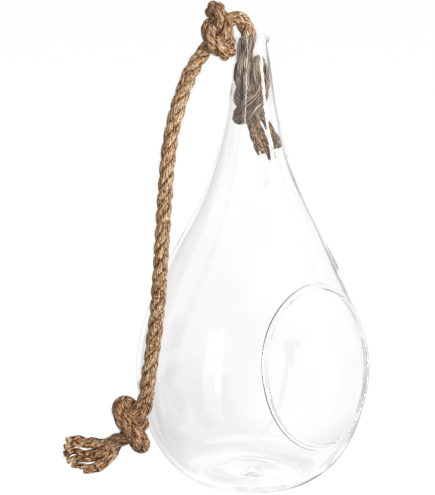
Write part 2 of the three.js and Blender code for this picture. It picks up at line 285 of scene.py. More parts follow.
class Wire:
    """A value in a node tree. Arithmetic on it adds Math nodes to the tree."""

    def __init__(self, tree: bpy.types.NodeTree, socket: bpy.types.NodeSocket) -> None:
        """Hold a socket of a tree."""
        self.tree = tree
        self.socket = socket

    def apply(self, operation: str, *others: "Wire | float") -> "Wire":
        """Add a Math node that starts from this value."""
        node = new_node(self.tree, "ShaderNodeMath", dict(enumerate((self, *others))), operation=operation)
        return Wire(self.tree, node.outputs[0])

    def __add__(self, other: "Wire | float") -> "Wire":
        """Add."""
        return self.apply("ADD", other)

    def __sub__(self, other: "Wire | float") -> "Wire":
        """Subtract."""
        return self.apply("SUBTRACT", other)

    def __mul__(self, other: "Wire | float") -> "Wire":
        """Multiply."""
        return self.apply("MULTIPLY", other)

    def rest(self) -> "Wire":
        """Return what is left of 1."""
        return self * -1.0 + 1.0

    def towards(self, other: "Wire | float", share: "Wire | float") -> "Wire":
        """Move towards another value by a share of the way."""
        return self + (self * -1.0 + other) * share

    def step(self, low: float, high: float, before: float = 0.0, after: float = 1.0) -> "Wire":
        """Go smoothly from one value to another.

        Args:
            low: where the change starts.
            high: where it ends.
            before: the value below low.
            after: the value above high.

        Returns:
            The changed value.
        """
        inputs = {"Value": self, "From Min": low, "From Max": high, "To Min": before, "To Max": after}
        node = new_node(self.tree, "ShaderNodeMapRange", inputs, interpolation_type="SMOOTHSTEP")
        return Wire(self.tree, node.outputs["Result"])

    def band(self, low: float, high: float, soft: float) -> "Wire":
        """Be 1 between two values and 0 outside them, with soft edges.

        Args:
            low: the lower edge.
            high: the upper edge.
            soft: the width of each edge.

        Returns:
            A value from 0 to 1.
        """
        return self.step(low - soft / 2, low + soft / 2) * self.step(high - soft / 2, high + soft / 2, 1, 0)


def new_node(
    tree: bpy.types.NodeTree, kind: str, inputs: dict[int | str, object] | None = None, **settings: object
) -> bpy.types.Node:
    """Add a node with its settings and its inputs.

    Args:
        tree: the tree that gets the node.
        kind: the node's type.
        inputs: by name or number, a plain value, or the Wire, the socket or the node that is linked there.
        **settings: the node's own settings by name.

    Returns:
        The new node.
    """
    node = tree.nodes.new(kind)
    for name, value in settings.items():
        setattr(node, name, value)
    for name, value in (inputs or {}).items():
        if isinstance(value, Wire):
            value = value.socket
        elif isinstance(value, bpy.types.Node):
            value = value.outputs[0]
        if isinstance(value, bpy.types.NodeSocket):
            tree.links.new(value, node.inputs[name])
        else:
            node.inputs[name].default_value = value
    return node


def new_material(name: str) -> tuple[bpy.types.Material, bpy.types.NodeTree]:
    """Make a material with an empty tree.

    Args:
        name: the name of the finish.

    Returns:
        The material and its tree.
    """
    material = bpy.data.materials.new(name)
    material.use_nodes = True
    material.node_tree.nodes.clear()
    return material, material.node_tree


def colour_ramp(tree: bpy.types.NodeTree, value: object, stops: list[tuple[float, Colour]]) -> bpy.types.Node:
    """Add a ramp that turns a value into a colour.

    Args:
        tree: the material's tree.
        value: the Wire or node that is read.
        stops: each place on the ramp and its colour, in order.

    Returns:
        The ramp's node.
    """
    ramp = new_node(tree, "ShaderNodeValToRGB", {"Fac": value})
    elements = ramp.color_ramp.elements
    for element, (place, colour) in zip(elements, (stops[0], stops[-1])):
        element.position, element.color = place, colour
    for place, colour in stops[1:-1]:
        elements.new(place).color = colour
    return ramp


# Finishes


@dataclass(frozen=True)
class ClearGlass:
    """Clear blown glass that lets lamp light through to what is behind it."""

    name: str = "clear_glass"
    tint: Colour = (1.0, 1.0, 0.998, 1.0)
    shadow_tint: Colour = (0.93, 0.94, 0.94, 1.0)
    bend: float = 1.5

    def make(self) -> bpy.types.Material:
        """Build the material."""
        material, tree = new_material(self.name)
        look = {"Base Color": self.tint, "Roughness": 0.0, "IOR": self.bend, "Transmission Weight": 1.0}
        glass = new_node(tree, "ShaderNodeBsdfPrincipled", look)
        clear = new_node(tree, "ShaderNodeBsdfTransparent", {"Color": self.shadow_tint})
        shadow = new_node(tree, "ShaderNodeLightPath").outputs["Is Shadow Ray"]
        mix = new_node(tree, "ShaderNodeMixShader", {0: shadow, 1: glass, 2: clear})
        new_node(tree, "ShaderNodeOutputMaterial", {"Surface": mix})
        return material


@dataclass(frozen=True)
class Jute:
    """Dry jute yarn. Its streaks follow the yarns through the piece's own UV map."""

    name: str
    dark: Colour = (0.06, 0.022, 0.006, 1.0)
    brown: Colour = (0.31, 0.152, 0.06, 1.0)
    tan: Colour = (0.71, 0.44, 0.23, 1.0)
    pale: Colour = (1.0, 0.86, 0.67, 1.0)
    # The crease tint and the two gap weights paint shade into the creases between strands and the gaps
    # between yarns
    crease_shade_tint: Colour = (0.22, 0.1, 0.04, 1.0)
    # This tint and its contrast below paint shade into the knots and give some loose yarns a random darker
    # tone
    shade_and_tone_tint: Colour = (0.62, 0.46, 0.33, 1.0)
    yarn_gap_shade: float = 0.8
    loose_gap_shade: float = 0.9
    loose_contrast: float = 2.2
    shade_and_tone_contrast: float = 0.55
    loose_paling: float = 0.12
    relief: float = 0.001

    def _noise(self, across: Wire, along: Wire, wide: float, long: float) -> Wire:
        """Return a noise that is stretched along the yarns.

        Args:
            across: the place across the yarns, one unit a yarn.
            along: the place along them, one unit for 4 mm.
            wide: how many of its patches lie across a yarn.
            long: how many of its patches lie along 4 mm.

        Returns:
            A value around 0.5.
        """
        place = new_node(across.tree, "ShaderNodeCombineXYZ", {"X": across * wide, "Y": along * long})
        inputs = {"Vector": place, "Scale": 1.0, "Detail": 3.0, "Roughness": 0.6}
        return Wire(across.tree, new_node(across.tree, "ShaderNodeTexNoise", inputs).outputs[0])

    def _tinted(self, share: Wire, colour: object, tint: Colour) -> bpy.types.NodeSocket:
        """Return a colour that is multiplied by a tint where the share is 1."""
        settings = {"data_type": "RGBA", "blend_type": "MULTIPLY"}
        return new_node(share.tree, "ShaderNodeMix", {0: share, 6: colour, 7: tint}, **settings).outputs[2]

    def make(self) -> bpy.types.Material:
        """Build the material."""
        material, tree = new_material(self.name)
        loose, shade_and_tone, crease = (
            Wire(tree, new_node(tree, "ShaderNodeAttribute", attribute_name=name).outputs["Fac"])
            for name in ("loose", "shade_and_tone", "crease")
        )
        place = new_node(tree, "ShaderNodeUVMap", uv_map="yarn")
        axes = new_node(tree, "ShaderNodeSeparateXYZ", {"Vector": place})
        across, along = Wire(tree, axes.outputs[0]), Wire(tree, axes.outputs[1])
        across = across + self._noise(across, along, 0.2, 0.45) * 1.6
        hump = (across.apply("FRACT") * math.pi).apply("SINE")
        own = new_node(tree, "ShaderNodeTexWhiteNoise", {"W": across.apply("FLOOR")}, noise_dimensions="1D")

        coarse = self._noise(across, along, 1.4, 1.15).step(0.4, 0.6)
        coarse = coarse.towards(self._noise(across, along, 2.4, 0.33).step(0.4, 0.6), loose)
        fine = self._noise(across, along, 3.2, 1.9).step(0.4, 0.6)
        fine = fine.towards(self._noise(across, along, 5.2, 0.5).step(0.42, 0.58), loose)
        patch = self._noise(across, along, 0.35, 0.3).step(0.3, 0.7)
        tone = coarse * 0.42 + fine * 0.26 + patch * 0.14 + Wire(tree, own.outputs[0]) * 0.18
        # The contrast rises in the loose yarns, and where the knots' painted shade and the yarns' random tone
        # lie
        contrast = loose * self.loose_contrast + shade_and_tone * self.shade_and_tone_contrast + 1.0
        tone = (tone - 0.5) * contrast + 0.5 + loose * self.loose_paling
        stops = [(0.1, self.dark), (0.32, self.brown), (0.56, self.tan), (0.95, self.pale)]
        colour = colour_ramp(tree, tone, stops)

        # Painted shade: the colour darkens in the creases between strands and in the gaps between yarns
        deep = crease * (coarse * -0.55 + 1.15)
        shade = deep + hump.rest().apply("POWER", 3.0) * (loose * self.loose_gap_shade + self.yarn_gap_shade)
        colour = self._tinted(shade.apply("MINIMUM", 1.0), colour, self.crease_shade_tint)
        # Painted shade: darker and redder in the knots, and a random darker tone on some loose yarns
        colour = self._tinted(shade_and_tone, colour, self.shade_and_tone_tint)
        height = hump * 0.6 + coarse * 0.35 + fine * 0.2
        bump = new_node(tree, "ShaderNodeBump", {"Strength": 1.0, "Distance": self.relief, "Height": height})
        look = {"Roughness": 0.75, "Specular IOR Level": 0.15, "Sheen Weight": 0.03, "Sheen Roughness": 0.4}
        inputs = {"Base Color": colour, "Normal": bump, **look}
        jute = new_node(tree, "ShaderNodeBsdfPrincipled", inputs)
        new_node(tree, "ShaderNodeOutputMaterial", {"Surface": jute})
        return material


@dataclass(frozen=True)
class Fibre:
    """A loose jute fibre, paler than the yarns that it stands out of."""

    name: str = "jute_fibre"
    pale: Colour = (0.72, 0.56, 0.39, 1.0)
    tan: Colour = (0.5, 0.33, 0.19, 1.0)
    patches: float = 260.0

    def make(self) -> bpy.types.Material:
        """Build the material."""
        material, tree = new_material(self.name)
        place = new_node(tree, "ShaderNodeTexCoord").outputs["Object"]
        noise = new_node(tree, "ShaderNodeTexNoise", {"Vector": place, "Scale": self.patches, "Detail": 2.0})
        ramp = colour_ramp(tree, noise, [(0.35, self.tan), (0.65, self.pale)])
        look = {"Base Color": ramp, "Roughness": 0.7, "Specular IOR Level": 0.3}
        fibre = new_node(tree, "ShaderNodeBsdfPrincipled", look)
        new_node(tree, "ShaderNodeOutputMaterial", {"Surface": fibre})
        return material


# Glass


@dataclass
class VaseOutline:
    """The outside of the vase and the thickness of its wall, in metres above the flat base."""

    height: float = 0.305
    base_radius: float = 0.034
    heel_radius: float = 0.045
    heel_height: float = 0.004
    belly_radius: float = 0.0795
    belly_height: float = 0.079
    shoulder_radius: float = 0.0394
    shoulder_height: float = 0.185
    shoulder_slope: float = 0.547
    rim_radius: float = 0.0112
    rim_slope: float = 0.058
    body_wall: float = 0.0026
    rim_wall: float = 0.0014
    steps: int = 300

    def outside(self) -> tuple[np.ndarray, np.ndarray]:
        """Return close points of the outside from the heel up, as radius and height, and their normals."""
        lower = self.belly_height - self.heel_height
        upper = self.shoulder_height - self.belly_height
        neck = self.height - self.shoulder_height
        spread = self.belly_radius - self.heel_radius
        arcs = (
            (
                (self.heel_radius, self.heel_height),
                (self.heel_radius + 0.68 * spread, self.heel_height + 0.184 * lower),
                (self.belly_radius, self.belly_height - 0.345 * lower),
                (self.belly_radius, self.belly_height),
            ),
            (
                (self.belly_radius, self.belly_height),
                (self.belly_radius, self.belly_height + 0.36 * upper),
                (
                    self.shoulder_radius + self.shoulder_slope * 0.126 * upper,
                    self.shoulder_height - 0.126 * upper,
                ),
                (self.shoulder_radius, self.shoulder_height),
            ),
            (
                (self.shoulder_radius, self.shoulder_height),
                (
                    self.shoulder_radius - self.shoulder_slope * 0.184 * neck,
                    self.shoulder_height + 0.184 * neck,
                ),
                (self.rim_radius + self.rim_slope * 0.497 * neck, self.height - 0.497 * neck),
                (self.rim_radius, self.height),
            ),
        )
        points, normals = [], []
        for k, arc in enumerate(arcs):
            a, b, c, d = (np.array(p) for p in arc)
            t = np.linspace(0, 1, self.steps)[0 if k == 0 else 1 :, None]
            points.append((1 - t) ** 3 * a + 3 * (1 - t) ** 2 * t * b + 3 * (1 - t) * t**2 * c + t**3 * d)
            slope = (1 - t) ** 2 * (b - a) + 2 * (1 - t) * t * (c - b) + t**2 * (d - c)
            normals.append(unit(np.column_stack([slope[:, 1], -slope[:, 0]])))
        return np.vstack(points), np.vstack(normals)

    def wall(self, height: np.ndarray) -> np.ndarray:
        """Return the thickness of the wall at heights of its outside."""
        start = 1.8 * self.belly_height
        share = np.clip((height - start) / (self.height - start), 0, 1)
        return self.body_wall + (self.rim_wall - self.body_wall) * np.minimum(1, 1.6 * share)

    def middle(self) -> tuple[np.ndarray, np.ndarray, np.ndarray]:
        """Return the heights, radii and half thicknesses of the middle of the wall."""
        points, normals = self.outside()
        wall = self.wall(points[:, 1])
        middle = points - normals * wall[:, None] / 2
        return middle[:, 1], middle[:, 0], wall / 2

    def outer_radius(self, height: np.ndarray) -> np.ndarray:
        """Return the outside radius at heights."""
        points, _ = self.outside()
        return np.interp(height, points[:, 1], points[:, 0])

    def bore_radius(self, height: np.ndarray) -> np.ndarray:
        """Return the inside radius at heights."""
        points, normals = self.outside()
        wall = self.wall(points[:, 1])
        return np.interp(height, points[:, 1], points[:, 0] - wall / normals[:, 0])


@dataclass
class GlassVase:
    """The blown body with its thick floor, its side opening with a fire-polished lip, and its rim."""

    outline: VaseOutline
    opening_half_width: float = 0.0466
    opening_half_height: float = 0.0511
    opening_height: float = 0.09
    lip_half: float = 0.002
    rim_half: float = 0.00082
    dent_depth: float = 0.0046
    dent_height: float = 0.1454
    dent_up: float = 0.022
    dent_across: float = 0.027
    floor_thickness: float = 0.005
    floor_rise: float = 0.0025
    floor_radius: float = 0.036
    base_hollow: float = 0.0009
    around: int = 168
    step: float = 0.0021
    lip_points: int = 240
    lip_zone: float = 0.0063
    wall_start: float = 0.0129
    sway: float = 0.00012
    _points: list[np.ndarray] = field(default_factory=list)
    _faces: list[tuple[int, ...]] = field(default_factory=list)
    _count: int = 0

    def __post_init__(self) -> None:
        """Read the middle of the wall once."""
        self._heights, self._radii, self._halves = self.outline.middle()

    def _add(self, points: np.ndarray) -> np.ndarray:
        """Store corners and return their numbers."""
        numbers = np.arange(self._count, self._count + len(points))
        self._points.append(points)
        self._count += len(points)
        return numbers

    def _face(self, *corners: int) -> None:
        """Store a face by its corner numbers."""
        self._faces.append(tuple(int(c) for c in corners))

    def _middle(self, angle: np.ndarray, height: np.ndarray) -> np.ndarray:
        """Return points of the middle of the wall.

        Args:
            angle: angles round the axis from -Y, in radians.
            height: heights, in metres.

        Returns:
            One point a row, drawn in above the opening.
        """
        radius = np.interp(height, self._heights, self._radii)
        x, y = radius * np.sin(angle), -radius * np.cos(angle)
        up = (height - self.dent_height) / self.dent_up
        dent = self.dent_depth * np.exp(-0.5 * (up**2 + (x / self.dent_across) ** 2))
        share = height / self.outline.height
        sway = self.sway * np.sin(2 * angle + 31 * height) * np.sin(math.pi * share)
        grown = 1 + sway / np.maximum(radius, 0.01)
        return np.column_stack([x * grown, y * grown + dent * smooth_step(-y, 0.0, 0.012), height])

    def _normal(self, angle: np.ndarray, height: np.ndarray) -> np.ndarray:
        """Return outward normals of the middle of the wall."""
        turn, rise = 1e-3, 2e-4
        low, high = self._heights[0], self._heights[-1]
        across = self._middle(angle + turn, height) - self._middle(angle - turn, height)
        up = self._middle(angle, np.minimum(height + rise, high)) - self._middle(
            angle, np.maximum(height - rise, low)
        )
        return unit(np.cross(across, up))

    def _level(self, angle: np.ndarray, height: np.ndarray) -> np.ndarray:
        """Return 1 on the rim of the opening, less inside it and more outside it."""
        radius = np.interp(height, self._heights, self._radii)
        across = radius * np.sin(angle) / self.opening_half_width
        level = np.hypot(across, (height - self.opening_height) / self.opening_half_height)
        return np.where(np.cos(angle) > 0, level, 9.0)

    def _half(self, angle: np.ndarray, height: np.ndarray) -> np.ndarray:
        """Return half the thickness of the wall, with its round edges and slow changes."""
        plain = np.interp(height, self._heights, self._halves)
        broad, narrow = np.sin(3 * angle + 40 * height), np.sin(5 * angle - 70 * height + 1)
        plain = plain * (1 + 0.07 * broad + 0.05 * narrow)
        size = 0.5 * (self.opening_half_width + self.opening_half_height)
        from_lip = np.maximum(self._level(angle, height) - 1, 0) * size
        from_rim = np.maximum(self._heights[-1] - height, 0)
        for away, half in ((from_lip, self.lip_half), (from_rim, self.rim_half)):
            bead = np.sqrt(np.maximum(half**2 - (half - away) ** 2, 0))
            plain = np.where(away < half, bead, (bead**12 + plain**12) ** (1 / 12))
        return plain

    def _wall_heights(self) -> np.ndarray:
        """Return the heights of the rings of the wall, close together where the rim is round."""
        arc = arc_lengths(np.column_stack([self._radii, self._heights]))
        start = np.interp(self.wall_start, self._heights, arc)
        count = int(round((arc[-1] - start) / self.step))
        heights = np.interp(np.linspace(start, arc[-1], count), arc, self._heights)
        edge = self._heights[-1] - self.rim_half * (1 - np.cos(np.radians([90, 72, 54, 36, 18, 0])))
        heights = heights[heights < edge[0] - 0.0008]
        return np.concatenate([heights, [edge[0] - 0.0003], edge])

    def _pair(self, angle: np.ndarray, height: np.ndarray) -> tuple[np.ndarray, np.ndarray]:
        """Store the outer and inner corner of places on the wall and return both sets of numbers."""
        middle = self._middle(angle, height)
        offset = self._normal(angle, height) * self._half(angle, height)[:, None]
        return self._add(middle + offset), self._add(middle - offset)

    def _opening_rings(self) -> list[tuple[np.ndarray, np.ndarray, np.ndarray, np.ndarray]]:
        """Store the rings round the opening, from its edge outwards.

        Returns:
            For each ring its outer and inner corner numbers, its angles and its heights.
        """
        size = 0.5 * (self.opening_half_width + self.opening_half_height)
        rounded = self.lip_half * (1 - np.cos(np.radians(np.arange(0, 150, 12)))) / size
        fading = np.array([0.0038, 0.0042, 0.0048, 0.0055, self.lip_zone]) / size
        scales = 1 + np.concatenate([rounded, fading])
        turn = np.linspace(0, 2 * math.pi, self.lip_points, endpoint=False)
        rings = []
        for k, scale in enumerate(scales):
            x = self.opening_half_width * scale * np.cos(turn)
            height = self.opening_height + self.opening_half_height * scale * np.sin(turn)
            angle = np.arcsin(x / np.interp(height, self._heights, self._radii))
            if k == 0:
                numbers = self._add(self._middle(angle, height))
                rings.append((numbers, numbers, angle, height))
            else:
                outer, inner = self._pair(angle, height)
                rings.append((outer, inner, angle, height))
        return rings

    def _wall(self) -> tuple[np.ndarray, np.ndarray]:
        """Build the wall with its opening and its rim.

        Returns:
            The outer and inner corner numbers of the lowest ring.
        """
        heights = self._wall_heights()
        angles = np.linspace(-math.pi, math.pi, self.around, endpoint=False)
        grid_angle, grid_height = np.meshgrid(angles, heights)
        level = self._level(grid_angle, grid_height)
        kept = level > self._last_level + 0.035
        outer = np.full(level.shape, -1)
        inner = np.full(level.shape, -1)
        outer[kept], inner[kept] = self._pair(grid_angle[kept], grid_height[kept])
        right = np.roll(kept, -1, axis=1)
        whole = kept[:-1] & kept[1:] & right[:-1] & right[1:]
        for k, j in zip(*np.nonzero(whole)):
            j2 = (j + 1) % self.around
            self._face(outer[k, j], outer[k, j2], outer[k + 1, j2], outer[k + 1, j])
            top = inner if k < len(heights) - 2 else outer
            self._face(inner[k, j], top[k + 1, j], top[k + 1, j2], inner[k, j2])
        rings = self._opening_rings()
        for near, far in zip(rings, rings[1:]):
            self._faces += strip(near[0], far[0], turned=True)
            self._faces += strip(near[1], far[1])
        self._patch(rings[-1], whole, angles, heights, outer, inner)
        return outer[0], inner[0]

    def _patch(
        self,
        ring: tuple[np.ndarray, np.ndarray, np.ndarray, np.ndarray],
        whole: np.ndarray,
        angles: np.ndarray,
        heights: np.ndarray,
        outer: np.ndarray,
        inner: np.ndarray,
    ) -> None:
        """Fill the gap between the last ring round the opening and the grid of the wall.

        Args:
            ring: the last ring's outer and inner corner numbers, angles and heights.
            whole: which cells of the grid have faces.
            angles: the angles of the grid's columns.
            heights: the heights of the grid's rows.
            outer: the outer corner numbers of the grid.
            inner: the inner corner numbers of the grid.
        """
        flat = 0.07
        used = np.zeros(outer.shape, bool)
        edges = set()
        for k, j in zip(*np.nonzero(~whole)):
            j2 = (j + 1) % self.around
            sides = (
                ((k, j), (k, j2), (k - 1, j)),
                ((k + 1, j), (k + 1, j2), (k + 1, j)),
                ((k, j), (k + 1, j), (k, (j - 1) % self.around)),
                ((k, j2), (k + 1, j2), (k, j2)),
            )
            for a, b, cell in sides:
                if 0 <= cell[0] < len(heights) - 1 and whole[cell]:
                    edges.add((a, b))
                    used[a] = used[b] = True
            for a in ((k, j), (k, j2), (k + 1, j), (k + 1, j2)):
                used[a] |= outer[a] >= 0
        places = [tuple(int(x) for x in p) for p in zip(*np.nonzero(used))]
        index = {p: i for i, p in enumerate(places)}
        points = [Vector((angles[j] * flat, heights[k])) for k, j in places]
        numbers_out = [int(outer[p]) for p in places]
        numbers_in = [int(inner[p]) for p in places]
        lines = [tuple(index[tuple(map(int, end))] for end in edge) for edge in edges]
        first = len(points)
        points += [Vector((a * flat, h)) for a, h in zip(ring[2], ring[3])]
        numbers_out += [int(x) for x in ring[0]]
        numbers_in += [int(x) for x in ring[1]]
        count = len(ring[0])
        lines += [(first + i, first + (i + 1) % count) for i in range(count)]
        _, _, triangles, origins, _, _ = delaunay_2d_cdt(points, lines, [], 0, 1e-9)
        for triangle in triangles:
            centre = sum((points[origins[i][0]] for i in triangle), Vector((0, 0))) / 3
            angle, height = centre.x / flat, centre.y
            k = int(np.searchsorted(heights, height)) - 1
            j = int(np.searchsorted(angles, angle)) - 1
            level = float(self._level(np.array([angle]), np.array([height]))[0])
            if 0 <= k < len(heights) - 1 and not whole[k, j] and level > self._last_level:
                a, b, c = (origins[i][0] for i in triangle)
                self._face(numbers_out[a], numbers_out[b], numbers_out[c])
                self._face(numbers_in[a], numbers_in[c], numbers_in[b])

    @property
    def _last_level(self) -> float:
        """The level of the last ring round the opening."""
        return 1 + self.lip_zone / (0.5 * (self.opening_half_width + self.opening_half_height)) - 1e-4

    def _ripple(self, x: np.ndarray, y: np.ndarray, seed: int) -> np.ndarray:
        """Return the low waves of the thick floor and its rough middle, in metres.

        Args:
            x: places across the floor.
            y: places across the floor.
            seed: which of the many possible floors this is.

        Returns:
            The rise at each place.
        """
        rng = np.random.default_rng(seed)
        radius = np.hypot(x, y)
        broad, small = np.zeros(np.shape(x)), np.zeros(np.shape(x))
        for _ in range(8):
            turn, start = rng.uniform(0, 2 * math.pi, 2)
            line = x * math.cos(turn) + y * math.sin(turn)
            broad = broad + np.sin(2 * math.pi * line / rng.uniform(0.012, 0.02) + start) / 8
            small = small + np.sin(2 * math.pi * line / rng.uniform(0.0032, 0.0055) + start) / 8
        rings = np.sin(2 * math.pi * radius / 0.0125 + 1.2)
        fade = 1 - smooth_step(radius, 0.026, 0.04)
        middle = 1 - smooth_step(radius, 0.0055, 0.0085)
        return fade * (0.00007 * rings + 0.00009 * broad) + middle * 0.00022 * small

    def _floor(self, lowest: np.ndarray, skin: Skin) -> None:
        """Close one skin below the wall: the hollow side, or the heel and the flat base.

        Args:
            lowest: the corner numbers of the wall's lowest ring.
            skin: which of the two it is.
        """
        start = np.vstack(self._points)[lowest]
        radius, height = float(np.hypot(start[:, 0], start[:, 1]).mean()), float(start[:, 2].mean())
        o = self.outline
        if skin is Skin.INNER:
            pull, edge = (o.heel_radius, self.floor_thickness), (self.floor_radius, self.floor_thickness)
            cove = pulled_arc((radius, height), pull, edge, 14)
            share = np.linspace(0, 1, 34)[1:-1]
            rise = self.floor_thickness + self.floor_rise * (1 - np.cos(math.pi * share)) / 2
            rows = np.vstack([cove, np.column_stack([self.floor_radius * (1 - share), rise])])
        else:
            points, _ = o.outside()
            below = points[points[:, 1] < height - 0.0006][::-24]
            pull, edge = (o.heel_radius - 0.0048, 0.0004), (o.base_radius, 0.0)
            heel = pulled_arc((o.heel_radius, o.heel_height), pull, edge, 9)
            share = np.linspace(0, 1, 32)[1:-1]
            hollow = self.base_hollow * smooth_step(share, 0.12, 0.5)
            rows = np.vstack([below, heel, np.column_stack([o.base_radius * (1 - share), hollow])])
        turn = np.linspace(-math.pi, math.pi, self.around, endpoint=False)
        last = lowest
        for radius, height in rows:
            x, y = radius * np.sin(turn), -radius * np.cos(turn)
            lift = self._ripple(x, y, 3) if skin is Skin.INNER else self._ripple(x, y, 8) * (radius < 0.03)
            ring = self._add(np.column_stack([x, y, height + lift * np.ones_like(x)]))
            self._faces += strip(last, ring, turned=skin is Skin.OUTER)
            last = ring
        centre = self._add(np.array([[0.0, 0.0, rows[-1][1]]]))[0]
        for a, b in zip(last, np.roll(last, -1)):
            self._face(*((a, b) if skin is Skin.INNER else (b, a)), centre)

    def build(self, finish: ClearGlass) -> bpy.types.Object:
        """Build the whole body in one closed skin.

        Args:
            finish: the glass.

        Returns:
            The glass piece, which stands for its solid.
        """
        outer, inner = self._wall()
        self._floor(outer, Skin.OUTER)
        self._floor(inner, Skin.INNER)
        points = np.vstack(self._points)
        used = np.zeros(len(points), bool)
        for face in self._faces:
            used[list(face)] = True
        new = np.cumsum(used) - 1
        faces = [tuple(int(new[i]) for i in face) for face in self._faces]
        obj = new_piece("vase_glass", points[used], faces, finish.make())
        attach(obj, "root")
        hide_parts("glass_body")
        LOG.info("vase_glass: %d faces", len(faces))
        return obj


# Rope


@dataclass
class Knot:
    """An overhand knot from its standing part at the top to its tail at the bottom."""

    top: Point
    bottom: Point
    front: Point
    hand: int
    twist: float
    spread: float
    bulge: float

    def points(self) -> np.ndarray:
        """Return the route of the rope through the knot: two twisted passes and a band across their front."""
        high, low = np.array(self.top), np.array(self.bottom)
        length = float(np.linalg.norm(high - low))
        up = (high - low) / length
        fore = np.array(self.front)
        fore = fore - up * (fore @ up)
        fore = fore / np.linalg.norm(fore)
        right = np.cross(up, fore) * self.hand

        def passing(start: float, first: float) -> list[np.ndarray]:
            """Return one twisted pass from a share of the way down."""
            shares = first + (1 - first) * np.arange(8) / 7
            angles = start + 2 * math.pi * shares
            return [
                high + (low - high) * s + self.twist * (math.cos(a) * right - math.sin(a) * fore)
                for s, a in zip(shares, angles)
            ]

        band = [
            low + up * rise * length + right * across * self.spread + fore * forward * self.bulge
            for rise, across, forward in (
                (0, -0.9, 0.55),
                (0.25, -0.45, 1),
                (0.62, 0.35, 1),
                (0.95, 0.95, 0.5),
            )
        ]
        return np.array([*passing(math.pi, 0), *band, *passing(0, 0.06)])


